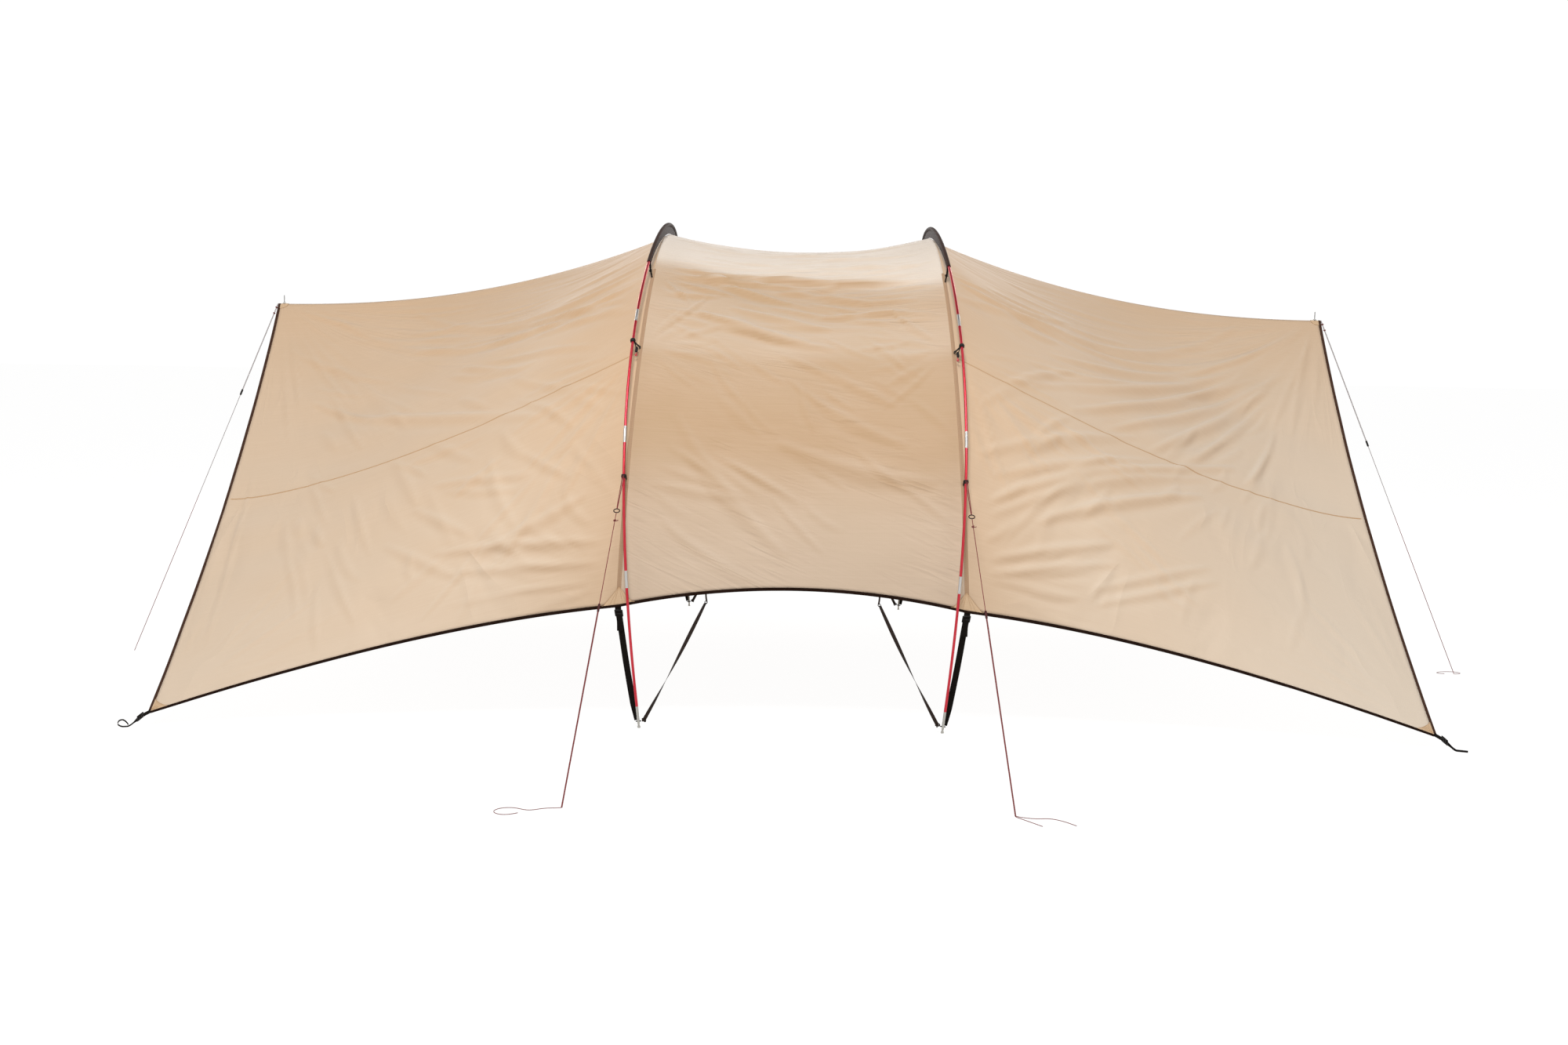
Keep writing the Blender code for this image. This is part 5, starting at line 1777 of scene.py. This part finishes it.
@dataclass
class FootStraps:
    """Webbing from the hem to the pole tips, and the slim twisted braces beside it.

    Both start behind the hem, a little above it. The foot of each lies out from its tip and over the
    ground, the brace's towards the middle.
    """

    finishes: Finishes
    canopy: Canopy
    webbing: float = 25 * MM
    webbing_thickness: float = 1.7 * MM
    behind: float = 3.4 * MM
    sewn_above: float = 16 * MM
    clear_below: float = 14 * MM
    lock_drop: float = 22 * MM
    foot: tuple[float, float] = (12 * MM, 22 * MM)
    taper_from: float = 0.86
    taper: float = 0.45
    free_end: float = 62 * MM
    lock: LadderLock = LadderLock()
    brace_foot: tuple[float, float] = (-20 * MM, 24 * MM)
    brace_behind: float = 2.6 * MM
    brace_width: float = 15 * MM
    brace_thickness: float = 1.3 * MM
    brace_k: float = 0.5
    brace_dip: float = 10 * MM
    brace_turns: float = 0.625

    def build(self) -> None:
        """Build the straps at all four feet."""
        for side, end in CORNERS:
            self.build_foot_strap(side, end)
            self.build_brace(side, end)

    def at_foot(self, side: Side, end: End, offset: tuple[float, float]) -> Array:
        """Place near a pole tip, by an offset outwards and upwards."""
        return SHAPE.pole(side.value * SHAPE.arch_half, end) + np.array([end.value * offset[0], 0, offset[1]])

    def hang(self, side: Side, k: float) -> tuple[Array, Array, Array]:
        """Place on the vault's hem.

        Args:
            side: Long side.
            k: Where along the hem, from -1 to 1.

        Returns:
            Hem point, the way down there, and the way to the inside.
        """
        v = side.value * SHAPE.vault_hem(np.array(k))
        hem = self.canopy.vault.point(v, np.array(k))
        down = unit(hem - self.canopy.vault.point(v - side.value * 0.01, np.array(k)))
        return hem, down, -self.canopy.vault.normal(v, np.array(k))

    def build_foot_strap(self, side: Side, end: End) -> None:
        """Strap from behind the hem through a ladder lock to the tip, with its free end hanging.

        Args:
            side: Long side.
            end: Wing end.
        """
        hem, down, inside = self.hang(side, float(end.value))
        foot = self.at_foot(side, end, self.foot)
        sewn = hem + inside * self.behind - down * self.sewn_above
        clear = hem + inside * (self.behind - 0.2 * MM) + down * self.clear_below
        lean = unit(foot - clear)
        out = np.array([0.0, side.value * 1.0, 0.0])
        lock = clear + lean * self.lock_drop + out * 1.5 * MM
        halfway = clear + (foot - clear) * 0.5 + np.array([end.value * 2, side.value * 4, 0]) * MM
        route = [sewn, clear, lock + out * 1.0 * MM, lock + lean * 0.03, halfway, foot]
        path = curve_through(route, 48)
        outline = rounded_bar(self.webbing, self.webbing_thickness, 5.0)
        share = np.linspace(0, 1, len(path))
        scale = np.ones((len(path), 2))
        scale[:, 0] = 1 - self.taper * np.clip((share - self.taper_from) / (1 - self.taper_from), 0, 1)
        tail_start = lock + lean * 0.004 + out * 3.2 * MM
        tail_tip = tail_start + lean * self.free_end + out * 5 * MM + np.array([end.value * 4, 0, -6]) * MM
        tail = curve_through([tail_start, tail_start + lean * 0.03 + out * 3 * MM, tail_tip], 14)
        loop_centre = foot + np.array([-end.value * 0.010, 0.0, -0.004])
        wrap = ring(loop_centre, [0.1 * end.value, 0.2, 1.0], 8.5 * MM, 2.4 * MM, 1.15)
        shells = [bar(path, outline, LEVEL_X, scale), wrap, bar(tail, outline, [1.0, 0.06, 0.0])]
        place_piece(named("foot_webbing", side, end), shells, self.finishes.webbing,
                    [named("foot_strap", side, end)])
        place_piece(named("ladder_lock", side, end), self.lock.shells(lock, lean, LEVEL_X),
                    self.finishes.black_part)

    def build_brace(self, side: Side, end: End) -> None:
        """Slim strap that twists on its way from a hook under the hem to the tip.

        Args:
            side: Long side.
            end: Wing end.
        """
        hem, down, inside = self.hang(side, end.value * self.brace_k)
        foot = self.at_foot(side, end, self.brace_foot)
        behind = hem + inside * self.brace_behind
        loop_end = behind + down * 42 * MM - np.array([end.value * 4 * MM, 0.0, 0.0])
        loop = curve_through([behind - down * 12 * MM, behind + down * 16 * MM, loop_end], 10)
        shells = [bar(loop, rounded_bar(7 * MM, 2.2 * MM), LEVEL_X)]
        count = 60
        share = np.linspace(0, 1, count)
        path = straight(loop_end + np.array([end.value * 0.006, 0.0, -0.006]), foot, count)
        path[:, 2] -= self.brace_dip * bump_over(share)
        lean = unit(foot - loop_end)
        flat = unit(np.array(LEVEL_X) - lean[0] * lean)
        edge = np.cross(lean, flat)
        turn = np.pi * (2 * self.brace_turns * share - 0.28)[:, None]
        side_way = flat * np.cos(turn) + edge * np.sin(turn)
        up = np.cross(np.broadcast_to(lean, side_way.shape), side_way)
        shells.append(sweep(path, rounded_bar(self.brace_width, self.brace_thickness, 5.0), side_way, up))
        shells.append(knot(foot + lean * 2 * MM, lean, 9 * MM, 2.6 * MM))
        place_piece(named("brace_webbing", side, end), shells, self.finishes.brace,
                    [named("brace_strap", side, end)])
        hook = [ring(loop_end + np.array([end.value * 3, 0, -2]) * MM, [0.2, 1.0, 0.1], 5.2 * MM, 1.5 * MM),
                pillow(loop_end + lean * 0.012, lean, [0.0, 1.0, 0.0], (7 * MM, 5 * MM, 16 * MM))]
        place_piece(named("brace_hook", side, end), hook, self.finishes.black_part)


@dataclass
class CornerStraps:
    """Webbing at the four corners: a strap sewn to the tapes, a ladder lock and a peg loop.

    Each route is given as shares of the way from the corner to the peg, with heights in metres.
    """

    finishes: Finishes
    canopy: Canopy
    webbing: float = 14 * MM
    webbing_thickness: float = 1.8 * MM
    loop_webbing: dict[End, float] = field(default_factory=lambda: {End.LEFT: 6 * MM, End.RIGHT: 9 * MM})
    lock: LadderLock = LadderLock(22 * MM, 31 * MM, 4 * MM)
    peg_x: float = 2.655
    peg_y: float = 1.745
    ground: float = 3.5 * MM
    to_knee: tuple[tuple[float, float], ...] = ((-0.10, 0.061), (0.0, 0.059), (0.25, 0.043), (0.42, 0.026),
                                                (0.60, 0.008))
    curled: tuple[tuple[float, float], ...] = ((0.72, 0.003), (0.86, 0.005), (0.96, 0.014), (0.93, 0.027),
                                               (0.82, 0.031), (0.72, 0.022), (0.66, 0.010))
    laid: tuple[tuple[float, float], ...] = ((0.70, 0.003), (0.84, ground), (1.0, ground))
    lock_share: float = 0.44

    def build(self) -> None:
        """Build the straps of all corners."""
        for side, end in CORNERS:
            self.build_corner(side, end)

    def build_corner(self, side: Side, end: End) -> None:
        """One corner: the strap, its buckle, and its loop, curled up on the left and flat on the right.

        Args:
            side: Long side.
            end: Wing end.
        """
        cloth = self.canopy.wings[end]
        corner = cloth.point(np.array(float(side.value)), np.array(1.0))
        out = np.array([end.value * (self.peg_x - SHAPE.corner_x),
                        side.value * (self.peg_y - SHAPE.corner_y), 0.0])
        level = unit(np.array([-out[1], out[0], 0.0]))
        flat = unit(0.5 * level * np.sign(side.value * end.value) - np.array([0.0, 0.0, 0.85]))
        bends = self.to_knee + (self.curled if end is End.LEFT else self.laid)
        path = curve_through([[corner[0] + out[0] * s, corner[1] + out[1] * s, z] for s, z in bends], 60)
        path[:, 2] = np.maximum(path[:, 2], self.ground)
        away = np.linalg.norm(path - path[0], axis=1) / np.linalg.norm(out)
        narrow = np.ones((len(path), 2))
        knee = np.clip((np.maximum.accumulate(away) - 0.55) / 0.15, 0, 1)
        narrow[:, 0] = 1 - (1 - self.loop_webbing[end] / self.webbing) * knee
        strap = bar(path, rounded_bar(self.webbing, self.webbing_thickness, 5.0), flat, narrow)
        place_piece(named("corner_webbing", side, end), [strap], self.finishes.webbing,
                    [named("corner_strap", side, end)])
        number = int(np.searchsorted(away[:30], self.lock_share))
        middle = path[number] + np.array([0.0, 0.0, 1.6 * MM])
        lock = self.lock.shells(middle, path[number + 1] - path[number - 1], flat)
        place_piece(named("corner_lock", side, end), lock, self.finishes.black_part)


@dataclass
class GuyLines:
    """Taut guy lines from the poles and the ridge ends, and their loose ends on the ground.

    Taut lines are drawn a little thicker than real, so that they show. A ring has a radius, a radius of
    its wire, and how oval it is. Drops run down the line, from the ring or from the ridge.
    """

    finishes: Finishes
    radius: float = 1.25 * MM
    taut_radius: float = 1.5 * MM
    arch_peg: tuple[float, float] = (0.757, 2.775)
    ridge_peg: tuple[float, float] = (3.210, 0.120)
    ring_drop: float = 0.188
    ring_size: tuple[float, float, float] = (9.4 * MM, 2.1 * MM, 1.22)
    knot_drop: float = 0.051
    runner_drop: float = 0.487
    runner_length: float = 38 * MM
    ridge_runner_length: float = 30 * MM
    pale_share: float = 0.55
    ridge_runner_drop: dict[End, float] = field(
        default_factory=lambda: {End.LEFT: 0.465, End.RIGHT: 0.635})
    lower_arc: float = 2.09
    hook_out: float = 10.5 * MM
    bridle_half: float = 3 * MM
    knot_radius: float = 5 * MM
    ground: float = 1.55 * MM

    def build(self) -> None:
        """Build every guy line and tail."""
        for side, end in CORNERS:
            self.build_arch_guy(side, end)
        for end in End:
            self.build_ridge_guy(end)
        self.build_tails()

    def runner(self, place: Array, lean: Array, length: float) -> list[Shell]:
        """Line runner: a slim moulded bar with a hole at each end for the cord.

        Args:
            place: Centre.
            lean: Direction of the line.
            length: Length of the runner.

        Returns:
            The shapes.
        """
        across = unit(np.cross(lean, [0.0, 1.0, 0.0]))
        holes = [ring(place + lean * length * share, unit(np.cross(lean, across)), 3.4 * MM, 1.5 * MM)
                 for share in (-0.36, 0.36)]
        return [pillow(place, lean, across, (9 * MM, 5 * MM, length))] + holes

    def build_arch_guy(self, side: Side, end: End) -> None:
        """Guy line from a lower hook: a bridle to a ring, a knot, a line, a runner and a doubled line.

        Args:
            side: Long side.
            end: Wing end.
        """
        place, _, inward, _ = SHAPE.pole_frame(side.value * self.lower_arc, end)
        start = place - inward * self.hook_out
        peg = np.array([end.value * self.arch_peg[0], side.value * self.arch_peg[1], self.ground])
        lean = unit(peg - start)
        centre = start + lean * self.ring_drop
        across = unit(np.cross(lean, inward))
        knot_place = centre + lean * self.knot_drop
        runner_place = centre + lean * self.runner_drop
        both = (across, -across)
        strands = [straight(start + way * self.bridle_half, centre - lean * 9 * MM + way * 1.2 * MM, 6)
                   for way in both]
        strands += [straight(centre + lean * 10 * MM, knot_place, 4), straight(knot_place, runner_place, 12)]
        strands += [straight(runner_place + way * 1.6 * MM, peg + way * 1.3 * MM, 16) for way in both]
        shells = [tube(path, self.taut_radius, 8) for path in strands]
        shells.append(knot(knot_place, lean, self.knot_radius, self.taut_radius))
        whisker = curve_through([knot_place, knot_place + across * 7 * MM + lean * 2 * MM,
                                 knot_place + across * 13 * MM - lean * 1 * MM], 8)
        shells.append(tube(whisker, self.taut_radius, 8))
        place_piece(named("guy_line", side, end), shells, self.finishes.cord,
                    [named("arch_guy", side, end)])
        eye = ring(centre, unit(np.cross(lean, LEVEL_X)), *self.ring_size)
        place_piece(named("guy_ring", side, end), [eye], self.finishes.ring)
        place_piece(named("guy_runner", side, end), self.runner(runner_place, lean, self.runner_length),
                    self.finishes.red_part)

    def build_ridge_guy(self, end: End) -> None:
        """Guy line from a ridge end: a knot, a pale line to the runner, and a red line to the ground.

        Args:
            end: Wing end.
        """
        start = np.array([end.value * (SHAPE.ridge_x + 0.0125), 0.0, SHAPE.ridge_z])
        peg = np.array([end.value * self.ridge_peg[0], -self.ridge_peg[1], self.ground])
        lean = unit(peg - start)
        across = unit(np.cross(lean, [0.0, 1.0, 0.0]))
        runner_place = start + lean * self.ridge_runner_drop[end]
        upper = [tube(straight(start + across * sign * 1.5 * MM, runner_place + across * sign * 1.5 * MM, 12),
                      self.radius, 8) for sign in (-1, 1)]
        middle = start + (peg - start) * self.pale_share
        upper.append(tube(straight(runner_place, middle, 14), self.taut_radius, 8))
        place_piece("ridge_line_upper_" + end.word, upper, self.finishes.pale_cord,
                    ["ridge_guy_" + end.word])
        lower = [tube(straight(middle, peg, 14), self.taut_radius, 8),
                 knot(start + lean * 0.020, lean, 5.5 * MM, 1.5 * MM),
                 knot(start + lean * 0.050, lean, 5.0 * MM, 1.5 * MM)]
        place_piece("ridge_line_lower_" + end.word, lower, self.finishes.cord)
        place_piece("ridge_runner_" + end.word, self.runner(runner_place, lean, self.ridge_runner_length),
                    self.finishes.black_part)

    def build_tails(self) -> None:
        """Loose ends on the ground, along the routes of their solids."""
        offset = self.radius + 0.3 * MM
        pair = self.radius + 0.15 * MM
        steps: dict[str, tuple[int, int, int, list[tuple[float, float]]]] = {
            "tail_near_left": (-1, -1, 0, [(0.0, -0.010), (-0.055, -0.005), (-0.105, -0.048),
                                           (-0.150, -0.008), (-0.205, -0.016), (-0.222, -0.070),
                                           (-0.175, -0.105), (-0.135, -0.072)]),
            "tail_near_right": (1, -1, -1, [(0.0, -0.010), (0.035, -0.060), (0.075, -0.118)]),
            "tail_near_right_long": (1, -1, 1, [(0.001, -0.008), (0.060, -0.030), (0.110, -0.024),
                                                (0.150, -0.054), (0.185, -0.104)]),
            "tail_far_left": (-1, 1, 0, [(0.0, 0.010), (-0.040, 0.060), (-0.085, 0.110)]),
            "tail_far_right": (1, 1, 0, [(0.0, 0.010), (0.055, 0.018), (0.110, 0.045), (0.160, 0.100)]),
        }
        for name, (end, side, strand, moves) in steps.items():
            start = np.array([end * self.arch_peg[0] + strand * pair, side * (self.arch_peg[1] + offset),
                              self.ground])
            self.build_tail(name, start, moves)
        start = np.array([self.ridge_peg[0] + offset, -self.ridge_peg[1], self.ground])
        self.build_tail("tail_ridge_right", start, [(0.008, 0.0), (0.040, 0.016), (0.030, 0.052),
                                                    (-0.020, 0.058), (-0.070, 0.040), (-0.080, 0.010),
                                                    (-0.046, 0.004)])

    @staticmethod
    def ease(path: Array, rounds: int = 60) -> Array:
        """Path with its ends kept and its bends eased: each point moves to the mean of its neighbours.

        Args:
            path: Array of n by 3.
            rounds: How many times that is done.

        Returns:
            Array of n by 3.
        """
        path = path.copy()
        for _ in range(rounds):
            path[1:-1] = (path[:-2] + 2 * path[1:-1] + path[2:]) / 4
        return path

    def build_tail(self, name: str, start: Array, moves: list[tuple[float, float]]) -> None:
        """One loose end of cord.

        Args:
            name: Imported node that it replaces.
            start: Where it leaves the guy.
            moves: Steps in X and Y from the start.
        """
        route = [start] + [start + np.array([x, y, 0.0]) for x, y in moves]
        path = self.ease(curve_through(route, 90))
        piece = place_piece(name.replace("tail", "cord_end"), [tube(path, self.radius, 10)],
                            self.finishes.cord, [name])


@dataclass
class Uprights:
    """Upright poles under the ridge ends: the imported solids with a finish, and an eyelet on each spike."""

    finishes: Finishes
    spike_x: float = 2.487
    eyelet_lift: float = 4.5 * MM
    eyelet: tuple[float, float] = (6.5 * MM, 1.8 * MM)

    def build(self) -> None:
        """Dress both poles, and set the eyelets."""
        for end in End:
            node = bpy.data.objects["upright_pole_" + end.word]
            for slot in node.material_slots:
                slot.material = self.finishes.steel
            place = np.array([end.value * self.spike_x, 0.0, SHAPE.ridge_z + self.eyelet_lift])
            place_piece("ridge_eyelet_" + end.word, [ring(place, [0.0, 0.0, 1.0], *self.eyelet)],
                        self.finishes.bare_tube)


@dataclass
class Studio:
    """Camera at the photograph's place, a pale floor and soft lights on all sides."""

    distance: float = 8.39
    eye_height: float = 1.579
    aside: float = 0.014
    pitch: float = 0.1078
    roll: float = 0.0165
    yaw: float = -0.0079
    focal_pixels: float = 2200.0
    image_width: float = 2000.0
    sensor: float = 36.0
    floor_half: float = 60.0
    floor_drop: float = 0.5 * MM
    overhead: float = 0.15
    front_glow: float = 0.40
    wall_glow: float = 1.5
    seen_glow: float = 1.02
    side_power: float = 110.0
    high_power: float = 1000.0
    far_power: float = 280.0

    def build(self) -> None:
        """Set up the view, the floor and the lights."""
        self.build_camera()
        self.build_floor()
        self.build_lights()

    @staticmethod
    def turned(right: Array, up: Array, back: Array, place: Sequence[float]) -> Matrix:
        """Matrix with these three axes, at a place."""
        return Matrix([[*row, at] for row, at in zip(np.stack([right, up, back], axis=1).tolist(), place)]
                      + [[0.0, 0.0, 0.0, 1.0]])

    def build_camera(self) -> None:
        """Camera turned by yaw, then tipped down by the pitch, then rolled."""
        forward = np.array([math.sin(self.yaw) * math.cos(self.pitch),
                            math.cos(self.yaw) * math.cos(self.pitch), -math.sin(self.pitch)])
        level = np.array([math.cos(self.yaw), -math.sin(self.yaw), 0.0])
        above = np.cross(level, forward)
        right = math.cos(self.roll) * level + math.sin(self.roll) * above
        up = -math.sin(self.roll) * level + math.cos(self.roll) * above
        data = bpy.data.cameras.new("camera")
        data.sensor_width = self.sensor
        data.lens = self.focal_pixels / self.image_width * self.sensor
        camera = bpy.data.objects.new("camera", data)
        bpy.context.scene.collection.objects.link(camera)
        camera.matrix_world = self.turned(right, up, -forward, (self.aside, -self.distance, self.eye_height))
        bpy.context.scene.camera = camera

    def build_floor(self) -> None:
        """Wide pale floor just under the feet."""
        half = self.floor_half
        mesh = bpy.data.meshes.new("floor")
        mesh.from_pydata([(-half, -half, 0), (half, -half, 0), (half, half, 0), (-half, half, 0)], [],
                         [(0, 1, 2, 3)])
        mesh.materials.append(StudioFloor("pale_floor").material())
        floor = bpy.data.objects.new("floor", mesh)
        floor.location.z = -self.floor_drop
        bpy.context.scene.collection.objects.link(floor)

    def build_lights(self) -> None:
        """Surround, a soft light on each side in front and behind, and a smaller one high in front."""
        self.build_surround()
        for name, place, size, power in (("left_light", (-6.5, -7.0, 2.6), 3.6, self.side_power),
                                         ("right_light", (6.5, -7.0, 2.6), 3.6, self.side_power),
                                         ("far_left_light", (-4.5, 8.0, 2.6), 3.6, self.far_power),
                                         ("far_right_light", (4.5, 8.0, 2.6), 3.6, self.far_power),
                                         ("high_light", (-0.6, -7.0, 8.0), 2.5, self.high_power)):
            data = bpy.data.lights.new(name, "AREA")
            data.size = size
            data.energy = power
            lamp = bpy.data.objects.new(name, data)
            bpy.context.scene.collection.objects.link(lamp)
            back = unit(np.array(place) - np.array([0.0, 0.0, 1.0]))
            side = unit(np.cross([0.0, 0.02, 1.0], back))
            lamp.matrix_world = self.turned(side, np.cross(back, side), back, place)
        bpy.context.scene.view_settings.view_transform = "Standard"

    def build_surround(self) -> None:
        """White surround: brightest on the wall behind the tent, and darker overhead.

        It lights the tent less from the front, but looks just white from every side.
        """
        world = bpy.data.worlds.new("surround")
        bpy.context.scene.world = world
        world.use_nodes = True
        tree = world.node_tree
        place = add_node(tree, "TexCoord")
        parts = add_node(tree, "SeparateXYZ", None, {"Vector": place.outputs["Generated"]})
        wall = add_node(tree, "MapRange", {
            "From Min": 0.58, "From Max": 0.80, "To Min": self.wall_glow, "To Max": self.overhead},
            {"Value": parts.outputs["Z"]})
        front = add_node(tree, "MapRange", {
            "From Min": 0.30, "From Max": 0.80, "To Min": self.front_glow, "To Max": self.overhead},
            {"Value": parts.outputs["Z"]})
        turn = add_node(tree, "MapRange", {"From Min": -0.2, "From Max": 0.3},
                        {"Value": parts.outputs["Y"]})
        level = add_node(tree, "Mix", {"data_type": "FLOAT"},
                         {0: turn.outputs["Result"], 2: front.outputs["Result"], 3: wall.outputs["Result"]})
        path = add_node(tree, "LightPath")
        seen = add_node(tree, "Mix", {"data_type": "FLOAT", 3: self.seen_glow},
                        {0: path.outputs["Is Camera Ray"], 2: level.outputs[0]})
        background = tree.nodes["Background"]
        background.inputs["Color"].default_value = WHITE
        tree.links.new(seen.outputs[0], background.inputs["Strength"])


def main() -> None:
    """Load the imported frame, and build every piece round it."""
    logging.basicConfig(level=logging.INFO, format="%(message)s")
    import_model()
    Studio().build()
    finishes = Finishes()
    canopy = Canopy(finishes)
    for group in (GuyLines(finishes), canopy, Bindings(finishes, canopy), ArchPoles(finishes),
                  PoleClips(finishes), FootStraps(finishes, canopy), CornerStraps(finishes, canopy),
                  Uprights(finishes)):
        group.build()
        LOG.info("built %s", type(group).__name__)


if __name__ == "__main__":
    main()
